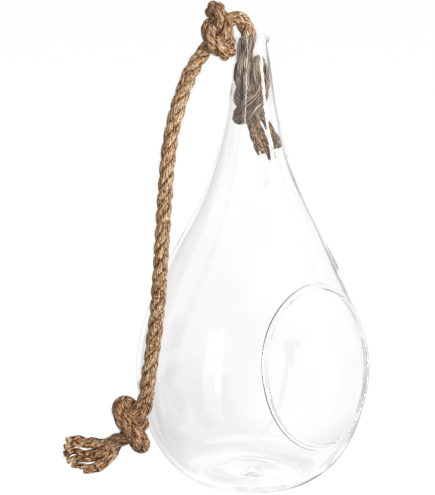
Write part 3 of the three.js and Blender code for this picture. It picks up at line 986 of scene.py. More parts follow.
@dataclass
class RopeRoute:
    """The way that the rope takes: its points are listed and its knots are drawn tight."""

    outline: VaseOutline
    diameter: float = 0.0104
    clearance: float = 0.0003
    press: float = 0.94
    bend_radius: float = 0.006
    step: float = 0.0025
    rounds: int = 300
    closing: int = 60
    smoothing: float = 0.35
    closing_smoothing: float = 0.2
    hold: float = 0.012
    turn: float = -math.pi / 4
    inner_tail: tuple[Point, ...] = ((0.0138, 0.0, 0.2275), (0.0108, 0.0, 0.2355), (0.007, 0.001, 0.2424))
    stop_knot: Knot = field(
        default_factory=lambda: Knot(
            (-0.0043, 0.0, 0.2848), (-0.0017, 0.0, 0.2526), (0, -1, 0), 1, 0.0052, 0.009, 0.01
        )
    )
    neck: tuple[Point, ...] = (
        (-0.0043, -0.002, 0.2957),
        (-0.0036, -0.003, 0.3025),
        (-0.0032, -0.004, 0.309),
        (-0.0055, -0.007, 0.314),
        (-0.0105, -0.0105, 0.3158),
    )
    top_knot: Knot = field(
        default_factory=lambda: Knot(
            (-0.0199, -0.019, 0.3213), (-0.0239, -0.021, 0.3006), (0.2, 1, 0), 1, 0.005, 0.008, 0.009
        )
    )
    long_run: tuple[Point, ...] = (
        (-0.0368, -0.027, 0.2935),
        (-0.0464, -0.037, 0.2706),
        (-0.0536, -0.043, 0.2446),
        (-0.057, -0.048, 0.2059),
        (-0.0595, -0.051, 0.17),
        (-0.0615, -0.053, 0.14),
        (-0.064, -0.0545, 0.115),
        (-0.0667, -0.0555, 0.0955),
        (-0.0698, -0.0555, 0.0806),
    )
    end_knot: Knot = field(
        default_factory=lambda: Knot(
            (-0.0769, -0.055, 0.0655), (-0.0817, -0.056, 0.0432), (0, -1, 0), -1, 0.0062, 0.012, 0.01
        )
    )
    end_tail: tuple[Point, ...] = (
        (-0.0898, -0.055, 0.0422),
        (-0.0972, -0.054, 0.0377),
        (-0.1065, -0.054, 0.0329),
        (-0.1145, -0.054, 0.0301),
        (-0.1225, -0.054, 0.0281),
    )

    def __post_init__(self) -> None:
        """Choose and settle the route once."""
        stretches = [
            np.array(self.inner_tail),
            self.stop_knot.points()[::-1],
            np.array(self.neck),
            self.top_knot.points(),
            np.array(self.long_run),
            self.end_knot.points(),
            np.array(self.end_tail),
        ]
        points = np.vstack(stretches)
        places = np.linspace(0, 1, 10 * len(points) + 1)
        lengths = arc_lengths(catmull(points, places))
        steps = int(round(lengths[-1] / self.step))
        at = np.interp(np.linspace(0, lengths[-1], steps + 1), lengths, places)
        counts = np.cumsum([0] + [len(s) for s in stretches[:-1]])
        self.starts = [int(round(lengths[10 * c] / lengths[-1] * steps)) for c in counts]
        self.line = turned_about_axis(self._settle(catmull(points, at)), self.turn)

    @property
    def length(self) -> float:
        """The length of the rope with its frayed tails."""
        return (len(self.line) - 1) * self.step

    def _keep_clear(self, line: np.ndarray) -> None:
        """Keep the rope inside the bore, outside the body and off the rim.

        Args:
            line: the points of the rope, which are moved.
        """
        free = slice(2, len(line) - 2)
        inside = np.arange(len(line))[free] < self.starts[3]
        body = line[free]
        radius = self.diameter / 2
        across = np.hypot(body[:, 0], body[:, 1])
        room = self.outline.bore_radius(body[:, 2]) - radius - self.clearance
        needed = self.outline.outer_radius(body[:, 2]) + radius + self.clearance
        shrink = inside & (body[:, 2] < self.outline.height) & (across > room)
        grow = ~inside & (body[:, 2] < self.outline.shoulder_height) & (across < needed)
        scale = np.where(shrink, room / across, np.where(grow, needed / across, 1.0))
        to_rim = (self.outline.rim_radius - self.outline.rim_wall / 2) / across
        rim = np.column_stack([body[:, :2] * to_rim[:, None], np.full(len(body), self.outline.height)])
        body[:, :2] *= scale[:, None]
        away = body - rim
        apart = np.linalg.norm(away, axis=1)
        least = radius + self.outline.rim_wall / 2 + self.clearance
        near = apart < least
        body[near] = rim[near] + away[near] / apart[near, None] * least

    def _settle(self, chosen: np.ndarray) -> np.ndarray:
        """Draw the knots tight.

        Args:
            chosen: evenly spaced points of the chosen route.

        Returns:
            The points after they are smoothed, pressed apart and kept at their spacing.
        """
        line = chosen.copy()
        count = len(line)
        along = np.abs(np.arange(count)[:, None] - np.arange(count)[None]) * self.step
        bend = 2 * self.bend_radius
        needed = np.minimum(self.press * self.diameter, bend * np.sin(np.minimum(along / bend, math.pi / 2)))
        needed[along < 2.5 * self.step] = 0
        free = np.ones((count, 1))
        free[:2] = free[-2:] = 0
        for turn in range(self.rounds):
            closing = turn >= self.rounds - self.closing
            smoothing = self.closing_smoothing if closing else self.smoothing
            line[1:-1] += smoothing * ((line[:-2] + line[2:]) / 2 - line[1:-1]) * free[1:-1]
            away = line[:, None] - line[None]
            apart = np.linalg.norm(away, axis=-1)
            near = apart < needed
            push = (np.where(near, (needed - apart) / np.maximum(apart, 1e-9), 0)[..., None] * away).sum(1)
            line += free * 0.5 * push / np.sqrt(np.maximum(near.sum(1), 1))[:, None]
            for _ in range(2):
                edge = np.diff(line, axis=0)
                long = np.linalg.norm(edge, axis=1, keepdims=True)
                move = 0.5 * (long - self.step) / long * edge
                change = np.zeros_like(line)
                change[:-1] += move
                change[1:] -= move
                line += free * change
            if not closing:
                line += free * self.hold * (chosen - line)
            self._keep_clear(line)
        return line

    def fine(self, first: float, last: float, step: float) -> np.ndarray:
        """Return close points of a stretch of the rope.

        Args:
            first: the number of the route's point where the stretch starts.
            last: the number of the point where it ends.
            step: the distance between two points, in metres.

        Returns:
            The points, one a row.
        """
        count = max(2, int(round(abs(last - first) * self.step / step)) + 1)
        places = np.linspace(first, last, count) / (len(self.line) - 1)
        return catmull(self.line, places)


@dataclass
class JuteRope:
    """The laid part of the rope: one skin with three strands whose yarns the finish draws."""

    route: RopeRoute
    first: float
    last: float
    ring_step: float = 0.0011
    lay_pitch: float = 0.031
    loose_lay: float = 0.5
    strands: int = 3
    sides: int = 34
    offset: float = 0.505
    strand_radius: float = 0.495
    groove: float = 0.55
    yarns: int = 10
    yarn_turns: float = 2.05
    knot_swell: tuple[float, float, float] = (0.14, 0.17, 0.17)
    # How much painted shade darkens the stop knot, the top knot and the end knot
    knot_shade: tuple[float, float, float] = (0.2, 0.6, 0.8)
    neck_swell: float = 0.1
    grain_slant: float = 0.15
    crease_angles: tuple[float, float] = (1.45, 2.05)

    def _in_knots(self, index: np.ndarray, shares: tuple[float, float, float]) -> np.ndarray:
        """Return a value for each point that is only there in the knots.

        Args:
            index: numbers of the route's points.
            shares: the value in the stop knot, in the top knot and in the end knot.

        Returns:
            The value at each point, 0 outside the knots.
        """
        starts = self.route.starts
        total = np.zeros(len(index))
        for a, b, share in zip(starts[1::2], starts[2::2], shares):
            total += share * smooth_step(index, a - 1, a + 5) * (1 - smooth_step(index, b - 5, b + 1))
        return total

    def build(self, finish: Jute) -> bpy.types.Object:
        """Build the skin.

        Args:
            finish: the jute.

        Returns:
            The rope piece, with a UV map and attributes that follow its yarns.
        """
        line = self.route.fine(self.first, self.last, self.ring_step)
        along = arc_lengths(line)
        index = np.linspace(self.first, self.last, len(line))
        ahead, side, over = carried_frames(line)
        swell = self._in_knots(index, self.knot_swell)
        inside = 1 - smooth_step(index, self.route.starts[3] - 12, self.route.starts[3] - 4)
        swell = swell + self.neck_swell * inside * (1 - swell) + 0.02 * wander(along, 0.05, 4)
        radius = self.route.diameter / 2 * (0.99 + swell)
        rate = (1 - (1 - self.loose_lay) * inside) * (1 + 0.1 * wander(along, 0.11, 5))
        lay = 2 * math.pi * np.concatenate([[0], np.cumsum(rate[1:] * np.diff(along))]) / self.lay_pitch
        section = np.radians(np.linspace(-120, 120, self.sides, endpoint=False))
        shape = (len(line), self.strands * self.sides)
        points, grain = np.zeros((*shape, 3)), np.zeros((*shape, 3))
        yarn, crease = np.zeros(shape), np.zeros(shape)
        for k in range(self.strands):
            proud = 1 + 0.05 * wander(along, 0.03, 10 + k)
            turn = lay + 2 * math.pi * k / self.strands
            phase = self.yarn_turns * lay + 0.4 * wander(along, 0.06, 20 + k)
            around = (section[None, :] + phase[:, None]) * self.yarns / (2 * math.pi)
            lumps = 0.025 * np.sin(2 * math.pi * around / 2.3 + 40 * along[:, None])
            strand = self.strand_radius * proud[:, None] * (1 + lumps)
            x = self.offset + strand * np.cos(section)
            y = strand * np.sin(section)
            limit = math.pi / self.strands
            theta = turn[:, None] + np.clip(np.arctan2(y, x), -limit, limit)
            spot = radius[:, None] * np.hypot(x, y) ** (self.groove - 0.12 * inside[:, None])
            places = slice(k * self.sides, (k + 1) * self.sides)
            out = np.cos(theta)[..., None] * side[:, None] + np.sin(theta)[..., None] * over[:, None]
            points[:, places] = line[:, None] + spot[..., None] * out
            yarn[:, places] = around + 17.3 * k
            crease[:, places] = smooth_step(np.abs(section), *self.crease_angles)[None]
            across = np.cross(ahead[:, None], out)
            slant = self.grain_slant * np.sin(section)[None, :, None]
            grain[:, places] = unit(ahead[:, None] + slant * across)
        # Painted shade in the knots, for the finish to read
        shade_and_tone = self._in_knots(index, self.knot_shade)
        obj = self._skin(points, yarn, crease, along, finish)
        store_field(obj, "grain", np.vstack([grain.reshape(-1, 3), ahead[0], ahead[-1]]))
        store_field(obj, "shade_and_tone", np.append(np.repeat(shade_and_tone, shape[1]), [shade_and_tone[0], shade_and_tone[-1]]))
        store_field(obj, "loose", np.append(np.repeat(inside, shape[1]), [inside[0], inside[-1]]))
        LOG.info("%s: %d rings of %d corners", obj.name, *shape)
        return obj

    def _skin(
        self, points: np.ndarray, yarn: np.ndarray, crease: np.ndarray, along: np.ndarray, finish: Jute
    ) -> bpy.types.Object:
        """Join the rings and close both ends.

        Args:
            points: the corners of each ring.
            yarn: the place across the yarns at each corner.
            crease: how deep each corner lies between strands, from 0 to 1.
            along: the place of each ring along the rope.
            finish: the jute.

        Returns:
            The rope piece.
        """
        rows, columns = points.shape[:2]
        numbers = np.arange(rows * columns).reshape(rows, columns)
        following = np.roll(numbers, -1, axis=1)
        quads = np.stack([numbers[:-1], following[:-1], following[1:], numbers[1:]], axis=-1).reshape(-1, 4)
        faces = [tuple(q) for q in quads.tolist()]
        for i in range(columns):
            j = (i + 1) % columns
            faces.append((rows * columns, j, i))
            faces.append((rows * columns + 1, (rows - 1) * columns + i, (rows - 1) * columns + j))
        corners = np.vstack([points.reshape(-1, 3), points[0].mean(0), points[-1].mean(0)])
        obj = new_piece("jute_rope", corners, faces, finish.make())
        following = np.roll(yarn, -1, axis=1)
        last = np.arange(columns) % self.sides == self.sides - 1
        following[:, last] = yarn[:, last] + self.yarns * 2 / 3 / self.sides
        store_map(obj, np.vstack([ring_map(yarn, following, along), np.zeros((6 * columns, 2))]))
        # The crease field tells the finish where to paint shade: between strands, and half at the closed ends
        store_field(obj, "crease", np.append(crease.reshape(-1), [0.5, 0.5]))
        return obj


@dataclass
class Yarn:
    """One loose yarn: listed points in the rope's own frame and its radius, in metres."""

    points: tuple[Point, ...]
    radius: float

    def around(self, count: int, spread: float, turns: float, seed: int) -> list["Yarn"]:
        """Split the yarn into thinner ones that twist round its line.

        Args:
            count: how many there are.
            spread: their distance from the line at the far end.
            turns: how many times they go round it.
            seed: which of the many possible bundles this is.

        Returns:
            The thinner yarns.
        """
        rng = random.Random(seed)
        line = catmull(np.array(self.points), np.linspace(0, 1, 9))
        _, side, over = carried_frames(line)
        share = np.linspace(0, 1, 9)
        yarns = []
        for k in range(count):
            angle = 2 * math.pi * (k / count + turns * share + 0.06 * rng.uniform(-1, 1) * share)
            reach = spread * (0.55 + 0.45 * share) * rng.uniform(0.85, 1.1)
            path = line + (reach * np.cos(angle))[:, None] * side + (reach * np.sin(angle))[:, None] * over
            path = path[: rng.choice((8, 9, 9))]
            yarns.append(Yarn(tuple(map(tuple, path.tolist())), self.radius * rng.uniform(0.85, 1.15)))
        return yarns


@dataclass
class YarnTail:
    """A tail of the rope that has come apart into loose yarns with cut ends."""

    name: str
    node: str
    turn: float
    yarns: list[Yarn]
    sides: int = 14
    step: float = 0.0008
    sway: float = 0.00035
    twist_pitch: float = 0.016
    lobe: float = 0.07
    plies: int = 3
    ply_turns: float = 1.2
    cut_bulge: float = 0.0003

    def _rings(self, number: int, yarn: Yarn) -> tuple[np.ndarray, np.ndarray, np.ndarray, np.ndarray]:
        """Return the skin of one yarn.

        Args:
            number: which yarn of the tail it is.
            yarn: its line and its radius.

        Returns:
            The corners of each ring, the middle of each ring, its distance along the yarn and its direction.
        """
        chosen = turned_about_axis(np.array(yarn.points), self.turn)
        line = catmull(chosen, np.linspace(0, 1, int(arc_lengths(chosen)[-1] / self.step) + 2))
        along = arc_lengths(line)
        sway = self.sway * np.column_stack([wander(along, 0.013, 60 + 3 * number + j) for j in range(3)])
        line = line + sway * smooth_step(along, 0, 0.006)[:, None]
        ahead, side, over = carried_frames(line)
        radius = yarn.radius * (1 + 0.1 * wander(along, 0.01, 90 + number))
        radius = radius * (0.8 + 0.2 * smooth_step(along, 0, 0.005))
        psi = np.linspace(0, 2 * math.pi, self.sides, endpoint=False)
        twist = 2 * math.pi * along / self.twist_pitch
        lobes = 1 + self.lobe * np.cos(2 * (psi[None] + twist[:, None]) + number)
        out = np.cos(psi)[None, :, None] * side[:, None] + np.sin(psi)[None, :, None] * over[:, None]
        return line[:, None] + (radius[:, None] * lobes)[..., None] * out, line, along, ahead

    def build(self, finish: Jute) -> bpy.types.Object:
        """Build the yarns in one piece.

        Args:
            finish: the frayed jute.

        Returns:
            The tail, which stands for its solid.
        """
        corners, faces, places, first = [], [], [], 0
        fields = {"crease": [], "grain": [], "shade_and_tone": []}
        around = np.arange(self.sides) / self.sides * self.plies
        for k, yarn in enumerate(self.yarns):
            rings, line, along, ahead = self._rings(k, yarn)
            corners.append(np.vstack([rings.reshape(-1, 3), line[0], line[-1] + ahead[-1] * self.cut_bulge]))
            grid = first + np.arange(len(line) * self.sides).reshape(-1, self.sides)
            for low, high in zip(grid, grid[1:]):
                faces += strip(low, high)
            ends = first + grid.size
            for i, j in zip(grid[0], np.roll(grid[0], -1)):
                faces.append((int(j), int(i), ends))
            for i, j in zip(grid[-1], np.roll(grid[-1], -1)):
                faces.append((int(i), int(j), ends + 1))
            own = 9.7 * k
            across = around[None] + (along / self.twist_pitch * self.ply_turns)[:, None] + own
            following = np.roll(across, -1, axis=1)
            following[:, -1] = across[:, -1] + self.plies / self.sides
            places += [ring_map(across, following, along), np.full((6 * self.sides, 2), own)]
            # The finish paints shade toward the middle of each cut end, and gives each yarn its own random
            # darker tone
            fields["crease"].append(np.append(np.zeros(grid.size), [0, 0.5]))
            fields["shade_and_tone"].append(np.full(grid.size + 2, 0.35 + 0.6 * ((k * 0.618) % 1)))
            fields["grain"].append(np.vstack([np.repeat(ahead, self.sides, axis=0), ahead[0], ahead[-1]]))
            first += grid.size + 2
        obj = new_piece(self.name, np.vstack(corners), faces, finish.make())
        store_map(obj, np.vstack(places))
        for name, values in fields.items():
            store_field(obj, name, np.concatenate(values))
        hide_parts(self.node)
        LOG.info("%s: %d yarns, %d faces", self.name, len(self.yarns), len(faces))
        return obj


@dataclass
class LooseFibres:
    """Short fibres that stand a little out of a rope or yarn, laid along its grain by Geometry Nodes."""

    name: str
    source: bpy.types.Object
    slot: Slot
    density: float
    length: float
    width: float
    lift: float
    seed: int
    shortest: float = 0.5
    longest: float = 1.25
    bow: float = 0.13

    def _fibre(self, tree: bpy.types.NodeTree, given: dict[str, bpy.types.NodeSocket]) -> bpy.types.Node:
        """Build one fibre, a thin bent tube along Z.

        Args:
            tree: the node tree.
            given: the sockets that hold the length and the width, by name.

        Returns:
            The node that gives the fibre.
        """
        reach = Wire(tree, given["Length"])
        ends = {
            "Resolution": 4,
            "Start": new_node(tree, "ShaderNodeCombineXYZ", {"Z": reach * -0.5}),
            "Middle": new_node(tree, "ShaderNodeCombineXYZ", {"X": reach * self.bow}),
            "End": new_node(tree, "ShaderNodeCombineXYZ", {"X": reach * 0.02, "Z": reach * 0.5}),
        }
        curve = new_node(tree, "GeometryNodeCurveQuadraticBezier", ends)
        circle = {"Resolution": 3, "Radius": given["Width"]}
        profile = new_node(tree, "GeometryNodeCurvePrimitiveCircle", circle)
        return new_node(tree, "GeometryNodeCurveToMesh", {"Curve": curve, "Profile Curve": profile})

    def _tree(self, finish: bpy.types.Material) -> bpy.types.NodeTree:
        """Build the node tree, with named inputs for the density, sizes and seed.

        Args:
            finish: the material of the fibres.

        Returns:
            The tree.
        """
        tree = bpy.data.node_groups.new(self.name, "GeometryNodeTree")
        floats = dict.fromkeys(("Density", "Length", "Width", "Lift"), "Float")
        kinds = {"Geometry": "Geometry", **floats, "Seed": "Int"}
        for name, kind in kinds.items():
            tree.interface.new_socket(name, in_out="INPUT", socket_type=f"NodeSocket{kind}")
        tree.interface.new_socket("Geometry", in_out="OUTPUT", socket_type="NodeSocketGeometry")
        given = new_node(tree, "NodeGroupInput").outputs
        spots = {"Mesh": given["Geometry"], "Density": given["Density"], "Seed": given["Seed"]}
        points = new_node(tree, "GeometryNodeDistributePointsOnFaces", spots)

        grain = new_node(tree, "GeometryNodeInputNamedAttribute", {"Name": "grain"}, data_type="FLOAT_VECTOR")
        anyhow = {0: (-1, -1, -1), 1: (1, 1, 1), "Seed": given["Seed"]}
        stray = new_node(tree, "FunctionNodeRandomValue", anyhow, data_type="FLOAT_VECTOR")
        spread = new_node(tree, "ShaderNodeVectorMath", {0: stray, "Scale": given["Lift"]}, operation="SCALE")
        aim = new_node(tree, "ShaderNodeVectorMath", {0: grain, 1: spread}, operation="ADD")
        align = new_node(tree, "FunctionNodeAlignRotationToVector", {"Vector": aim}, axis="Z")
        spin = new_node(tree, "FunctionNodeRandomValue", {1: (0, 0, 2 * math.pi)}, data_type="FLOAT_VECTOR")
        turned = new_node(tree, "FunctionNodeEulerToRotation", {0: spin})
        rotation = new_node(tree, "FunctionNodeRotateRotation", {0: align, 1: turned}, rotation_space="LOCAL")
        sizes = {2: self.shortest, 3: self.longest}
        size = new_node(tree, "FunctionNodeRandomValue", sizes, data_type="FLOAT").outputs[1]

        laid = {"Points": points, "Instance": self._fibre(tree, given), "Rotation": rotation, "Scale": size}
        placed = new_node(tree, "GeometryNodeInstanceOnPoints", laid)
        real = new_node(tree, "GeometryNodeRealizeInstances", {0: placed})
        dressed = new_node(tree, "GeometryNodeSetMaterial", {0: real, "Material": finish})
        new_node(tree, "NodeGroupOutput", {0: dressed})
        return tree

    def build(self, finish: Fibre) -> bpy.types.Object:
        """Build the fibres in one piece.

        Args:
            finish: the fibre.

        Returns:
            The piece.
        """
        tree = self._tree(finish.make())
        modifier = self.source.modifiers.new(self.name, "NODES")
        modifier.node_group = tree
        sizes = {"Density": self.density, "Length": self.length, "Width": self.width, "Lift": self.lift}
        values = {**sizes, "Seed": self.seed}
        for item in tree.interface.items_tree:
            if item.in_out == "INPUT" and item.name in values:
                modifier[item.identifier] = values[item.name]
        bpy.context.view_layer.update()
        evaluated = self.source.evaluated_get(bpy.context.evaluated_depsgraph_get())
        mesh = bpy.data.meshes.new_from_object(evaluated)
        self.source.modifiers.remove(modifier)
        mesh.name = self.name
        for name in [a.name for a in mesh.attributes if a.name in ("grain", "crease", "shade_and_tone", "loose")]:
            mesh.attributes.remove(mesh.attributes[name])
        obj = add_piece(self.name, mesh)
        LOG.info("%s: %d faces", self.name, len(mesh.polygons))
        return obj


# Studio


@dataclass
class Studio:
    """The camera, the plain pale floor, the soft lamps and the white surroundings.

    Directions in the room are a bearing, in degrees to the left of the camera as the vase sees it, and a rise
    above the level, in degrees.
    """

    eye: Point = (-1.0607, -1.0607, 0.475)
    heading: float = -45.0
    pitch: float = -11.8
    picture_width: float = 435.0
    picture_height: float = 495.0
    focal_pixels: float = 2269.0
    axis_pixel: float = 252.5
    sensor: float = 36.0
    floor_half: float = 4.0
    floor_drop: float = 0.0004
    lamp_distance: float = 1.5

    def camera(self) -> None:
        """Place the camera as the photograph has it."""
        data = bpy.data.cameras.new("camera")
        data.lens = self.focal_pixels * self.sensor / self.picture_height
        data.sensor_width = self.sensor
        data.shift_x = (self.picture_width / 2 - self.axis_pixel) / self.picture_height
        data.clip_start, data.clip_end = 0.05, 50.0
        obj = bpy.data.objects.new("camera", data)
        obj.location = self.eye
        obj.rotation_euler = (math.radians(90.0 + self.pitch), 0.0, math.radians(self.heading))
        bpy.context.scene.collection.objects.link(obj)
        bpy.context.scene.camera = obj

    def floor(self) -> None:
        """Lay the floor, which is white to the camera but keeps the shadow of the object."""
        material, tree = new_material("studio_floor")
        seen = new_node(tree, "ShaderNodeBsdfDiffuse", {"Color": (0.2, 0.2, 0.2, 1)})
        glow = new_node(tree, "ShaderNodeEmission", {"Color": (1, 1, 1, 1), "Strength": 0.9})
        both = new_node(tree, "ShaderNodeAddShader", {0: seen, 1: glow})
        plain = new_node(tree, "ShaderNodeBsdfDiffuse", {"Color": (0.8, 0.8, 0.8, 1)})
        camera = new_node(tree, "ShaderNodeLightPath").outputs["Is Camera Ray"]
        mix = new_node(tree, "ShaderNodeMixShader", {0: camera, 1: plain, 2: both})
        new_node(tree, "ShaderNodeOutputMaterial", {"Surface": mix})
        mesh = bpy.data.meshes.new("studio_floor")
        half, drop = self.floor_half, -self.floor_drop
        corners = [(-half, -half, drop), (half, -half, drop), (half, half, drop), (-half, half, drop)]
        mesh.from_pydata(corners, [], [(0, 1, 2, 3)])
        mesh.materials.append(material)
        obj = bpy.data.objects.new("studio_floor", mesh)
        bpy.context.scene.collection.objects.link(obj)
        obj.visible_transmission = False
        obj.visible_glossy = False

    def lamps(self) -> None:
        """Hang the soft lamps: a large one in front and to the right, and a weak one in front."""
        for name, bearing, height, size, power in (
            ("lamp_right", -48.0, 0.75, 0.8, 22.0),
            ("lamp_front", -6.0, 1.0, 0.9, 7.0),
        ):
            data = bpy.data.lights.new(name, "AREA")
            data.shape = "DISK"
            data.size = size
            data.energy = power
            obj = bpy.data.objects.new(name, data)
            turn = math.radians(225.0 - bearing)
            obj.location = (self.lamp_distance * math.cos(turn), self.lamp_distance * math.sin(turn), height)
            aim = Vector((0, 0, 0.16)) - obj.location
            obj.rotation_euler = aim.to_track_quat("-Z", "Y").to_euler()
            obj.visible_glossy = False
            obj.visible_transmission = False
            bpy.context.scene.collection.objects.link(obj)

    @staticmethod
    def _from_behind(bearing: Wire) -> Wire:
        """Return a bearing as it counts from straight behind the vase."""
        return (bearing + 360.0).apply("MODULO", 360.0) * -1.0 + 180.0

    def _seen_through(self, bearing: Wire, rise: Wire) -> Wire:
        """Return the light of the room as it shows through the glass.

        Args:
            bearing: the direction's bearing.
            rise: its rise.

        Returns:
            White, less the grey panels at the sides and the soft shade behind and below the vase.
        """
        behind = self._from_behind(bearing)
        spacing = (bearing + 382.5).apply("MODULO", 45.0) - 22.5
        panels = spacing.apply("ABSOLUTE").step(13.0, 19.5) * rise.band(-38, 62, 6)
        panels = panels * (behind.band(50, 140, 4) * 0.25 + behind.band(-140, -78, 3) * 0.4)
        low = rise.step(-9.0, -17.5, 0.3, 1.0)
        shade = behind.step(-2.2, 3.2) * low * 0.15 + behind.step(3.2, 10) * behind.step(24, 34, 1, 0) * 0.07
        shade = shade + behind.band(13, 30, 4) * 0.04
        shade = shade + behind.band(-60, -22, 4) * rise.step(-34, -26) * 0.95
        table = rise.band(-34, -17, 2) * 0.09 - rise.step(-36, -50) * 0.3
        return panels.rest() - shade - table

    def _bright_windows(self, bearing: Wire, rise: Wire) -> Wire:
        """Return the bright strips that the front of the glass mirrors: a key, a window beside it and a box.

        Args:
            bearing: the direction's bearing.
            rise: its rise.

        Returns:
            The light that they add.
        """
        foot = (rise - (bearing - 33.0) * 0.35).step(-39, -30)
        upper, lower = rise.band(-12, 25, 2.0) * 13.0, rise.band(-50, -12, 2.0) * foot * 1.3
        key = bearing.band(31, 36, 0.7) * (upper + lower)
        window = bearing.band(36, 50, 2.5) * rise.band(-50, 24, 2.0) * foot * 1.3
        lean = bearing + rise * 1.16
        return key + window + lean.band(-64, -46, 2.5) * rise.band(-9, 24, 4.0) * 18.0

    def _mirrored(self, bearing: Wire, rise: Wire, front: Wire) -> Wire:
        """Return the light of the room as the glass mirrors it.

        Args:
            bearing: the direction's bearing.
            rise: its rise.
            front: 1 on the front skin of the glass, 0 behind it.

        Returns:
            White, with bright windows on the front skin and dark cards that draw the lines of the glass.
        """
        behind = self._from_behind(bearing)
        left_card = bearing.band(108, 146, 8) * (front * 0.5 + rise.step(-21, -11) * 0.25)
        middle_card = behind.band(-1, 10.5, 1.5) * rise.band(-20, -2, 3) * 0.6
        right_card = behind.band(-12, -1, 2) * (rise.band(-36, -18, 3) + rise.band(-4, 2, 1.5) * 0.6) * 0.85
        outline_card = bearing.band(146, 176, 5) * rise.band(-30, -19, 2) * 0.2
        foot_card = bearing.band(20, 60, 8) * rise.band(-27, -17, 2) * 0.14
        cards = left_card + middle_card + right_card + outline_card + foot_card

        lip = rise.band(-32, -13, 3) * 0.7 + rise.band(-4.5, 2, 2) * 0.8 + rise.band(2, 20, 2) * 0.5
        inner = bearing.band(-106, -82, 5) * lip
        for bearings, rises, soft, dark in (
            ((-82, -46, 6), (-3, 10), 3, 0.26),
            ((-82, -24, 6), (10, 44), 3, 0.55),
            ((-163, -106, 5), (-3.7, 1.5), 0.8, 0.65),
            ((-140, -120, 5), (8, 28), 3, 0.3),
        ):
            inner = inner + bearing.band(*bearings) * rise.band(*rises, soft) * dark
        glow = bearing.band(-92, -22, 8) * 0.12 + rise.step(-36, -50) * 0.3
        bright = self._bright_windows(bearing, rise) * front
        return bright + glow + 0.98 - cards - inner * front.rest()

    def surroundings(self) -> None:
        """Build the world: white to the camera, a plain fill for dull surfaces and a studio for the glass."""
        world = bpy.data.worlds.new("studio")
        bpy.context.scene.world = world
        world.use_nodes = True
        tree = world.node_tree
        tree.nodes.clear()
        place = new_node(tree, "ShaderNodeTexCoord").outputs["Generated"]
        x, y, z = (Wire(tree, s) for s in new_node(tree, "ShaderNodeSeparateXYZ", {"Vector": place}).outputs)
        half_turn = math.cos(math.radians(self.heading))
        facing, left = (x + y) * -half_turn, (y - x) * half_turn
        bearing = left.apply("ARCTAN2", facing) * (180 / math.pi)
        rise = z.apply("ARCSINE") * (180 / math.pi)
        path = new_node(tree, "ShaderNodeLightPath")
        camera, through, bent, mirror_depth, dull_depth, pass_depth = (
            Wire(tree, path.outputs[name])
            for name in (
                "Is Camera Ray",
                "Is Transmission Ray",
                "Is Glossy Ray",
                "Glossy Depth",
                "Diffuse Depth",
                "Transmission Depth",
            )
        )
        front = pass_depth.step(0.4, 0.6, 1.0, 0.0)
        seen = self._seen_through(bearing, rise)
        seen = seen.towards(self._mirrored(bearing, rise, front), mirror_depth.step(0.4, 0.6))
        fill = bearing.step(-150, 100, 0.42, 0.14) + rise.step(-30, 60, 0.0, 0.2)
        from_glass = bent.apply("MAXIMUM", through) * dull_depth.step(0.4, 0.6).rest()
        strength = fill.towards(seen, from_glass).towards(1.0, camera)
        background = new_node(tree, "ShaderNodeBackground", {"Color": (1, 1, 1, 1), "Strength": strength})
        new_node(tree, "ShaderNodeOutputWorld", {"Surface": background})


# The whole


def yarn_through(line: tuple[Point, ...], radius: float) -> Yarn:
    """Return a yarn through points that are given in millimetres."""
    return Yarn(tuple((x / 1000, y / 1000, z / 1000) for x, y, z in line), radius)


def end_yarns() -> list[Yarn]:
    """Return the yarns of the tail below the end knot, spread like a fan."""
    lines = (
        (
            *((-90, -57, 44), (-99, -55, 42), (-107, -53, 42)),
            *((-113, -53, 42.5), (-118, -54, 44), (-123, -55, 42.5)),
        ),
        ((-90, -58, 43), (-99, -58, 40), (-108, -57, 40), (-117, -57, 41), (-124, -57, 38.5)),
        ((-90, -55, 43), (-98, -52, 40), (-107, -51, 38), (-116, -51, 39.5), (-125, -52, 36.5)),
        ((-90, -58, 42), (-99, -60, 37), (-108, -60, 34), (-117, -58, 36), (-125, -57, 34)),
        ((-90, -54, 42), (-99, -52, 36.5), (-109, -51, 33), (-118, -52, 34), (-124, -54, 32)),
        ((-91, -58, 41), (-101, -59, 34), (-110, -58, 31), (-118, -57, 31), (-123, -57, 29)),
        ((-90, -54, 41), (-96, -51, 35), (-104, -51, 29), (-111, -52, 28.5), (-117, -53, 29)),
        ((-90, -58, 40), (-95, -59, 34), (-103, -59, 27), (-112, -58, 25.5), (-120, -57, 27)),
        ((-89, -55, 40), (-93, -53, 34), (-100, -52, 26.5), (-108, -53, 24), (-115, -54, 24)),
        ((-88, -57, 39), (-91, -58, 34), (-98, -57, 26), (-105, -57, 22.5), (-112, -57, 22.5)),
    )
    return [yarn_through(line, 0.0019) for line in lines]


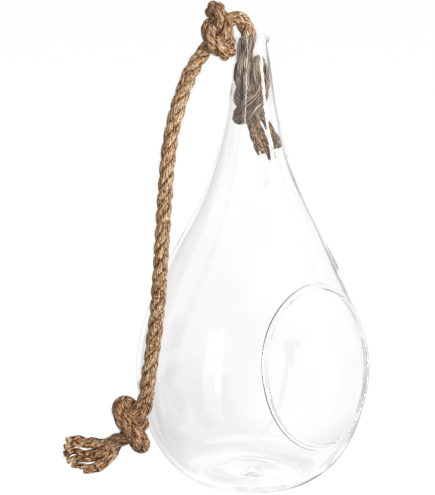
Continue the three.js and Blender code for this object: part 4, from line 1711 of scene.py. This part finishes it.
def inner_yarns() -> list[Yarn]:
    """Return the yarns of the tail inside the neck, in three strands."""
    strands = (
        ((-3, -1, 253), (0, -2, 241), (3, -2, 234), (6, -2, 225.5)),
        ((0, 0, 253), (5, 1, 241), (9, 1, 232), (13, 0, 222.5)),
        ((3, 0, 253), (8, 2, 247.5), (12, 2, 241.5), (15.5, 1, 235.5), (17.5, 0, 230)),
    )
    yarns = []
    for k, strand in enumerate(strands):
        yarns += yarn_through(strand, 0.0012).around(5, 0.0018, 0.35, 30 + k)
    return yarns


def main() -> None:
    """Build the studio, the rope and the vase in order, and report each piece."""
    logging.basicConfig(level=logging.INFO, format="%(message)s")
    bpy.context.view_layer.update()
    bpy.context.scene.view_settings.view_transform = "Standard"
    # Light runs far inside the thick lip and rim before it leaves them
    paths = bpy.context.scene.cycles
    paths.max_bounces = paths.glossy_bounces = paths.transmission_bounces = 400
    studio = Studio()
    studio.camera()
    studio.floor()
    studio.lamps()
    studio.surroundings()

    outline = VaseOutline()
    route = RopeRoute(outline)
    # The points of the route between which the rope is laid: its ends past them are frayed
    first, last = 10.0, 291.5
    rope = JuteRope(route, first, last).build(Jute("jute_rope"))
    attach(rope, "root")
    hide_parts("rope_stop_knot", "rope_neck_run", "rope_top_knot", "rope_long_run", "rope_end_knot")
    end_tail, inner_tail = (
        YarnTail(name, node, route.turn, yarns).build(Jute(name))
        for name, node, yarns in (
            ("end_tail_yarns", "rope_end_tail", end_yarns()),
            ("inner_tail_yarns", "rope_inner_tail", inner_yarns()),
        )
    )
    pieces = [end_tail, inner_tail]
    for name, source, slot, density, length, width, lift, seed in (
        ("rope_fibres", rope, Slot.JUTE_ROPE, 90000, 0.007, 0.00009, 0.12, 3),
        ("rope_hairs", rope, Slot.JUTE_ROPE, 14000, 0.008, 0.00007, 0.55, 4),
        ("end_tail_fibres", end_tail, Slot.FRAYED_JUTE, 120000, 0.005, 0.00009, 0.16, 5),
        ("inner_tail_fibres", inner_tail, Slot.FRAYED_JUTE, 120000, 0.006, 0.00009, 0.16, 6),
    ):
        pieces.append(LooseFibres(name, source, slot, density, length, width, lift, seed).build(Fibre()))
    for piece in pieces:
        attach(piece, "root")
    for piece in (rope, *pieces):
        piece.visible_glossy = False
    route.length
    route.fine(first, last, 0.0025).tolist()
    GlassVase(outline).build(ClearGlass())


if __name__ == "__main__":
    main()
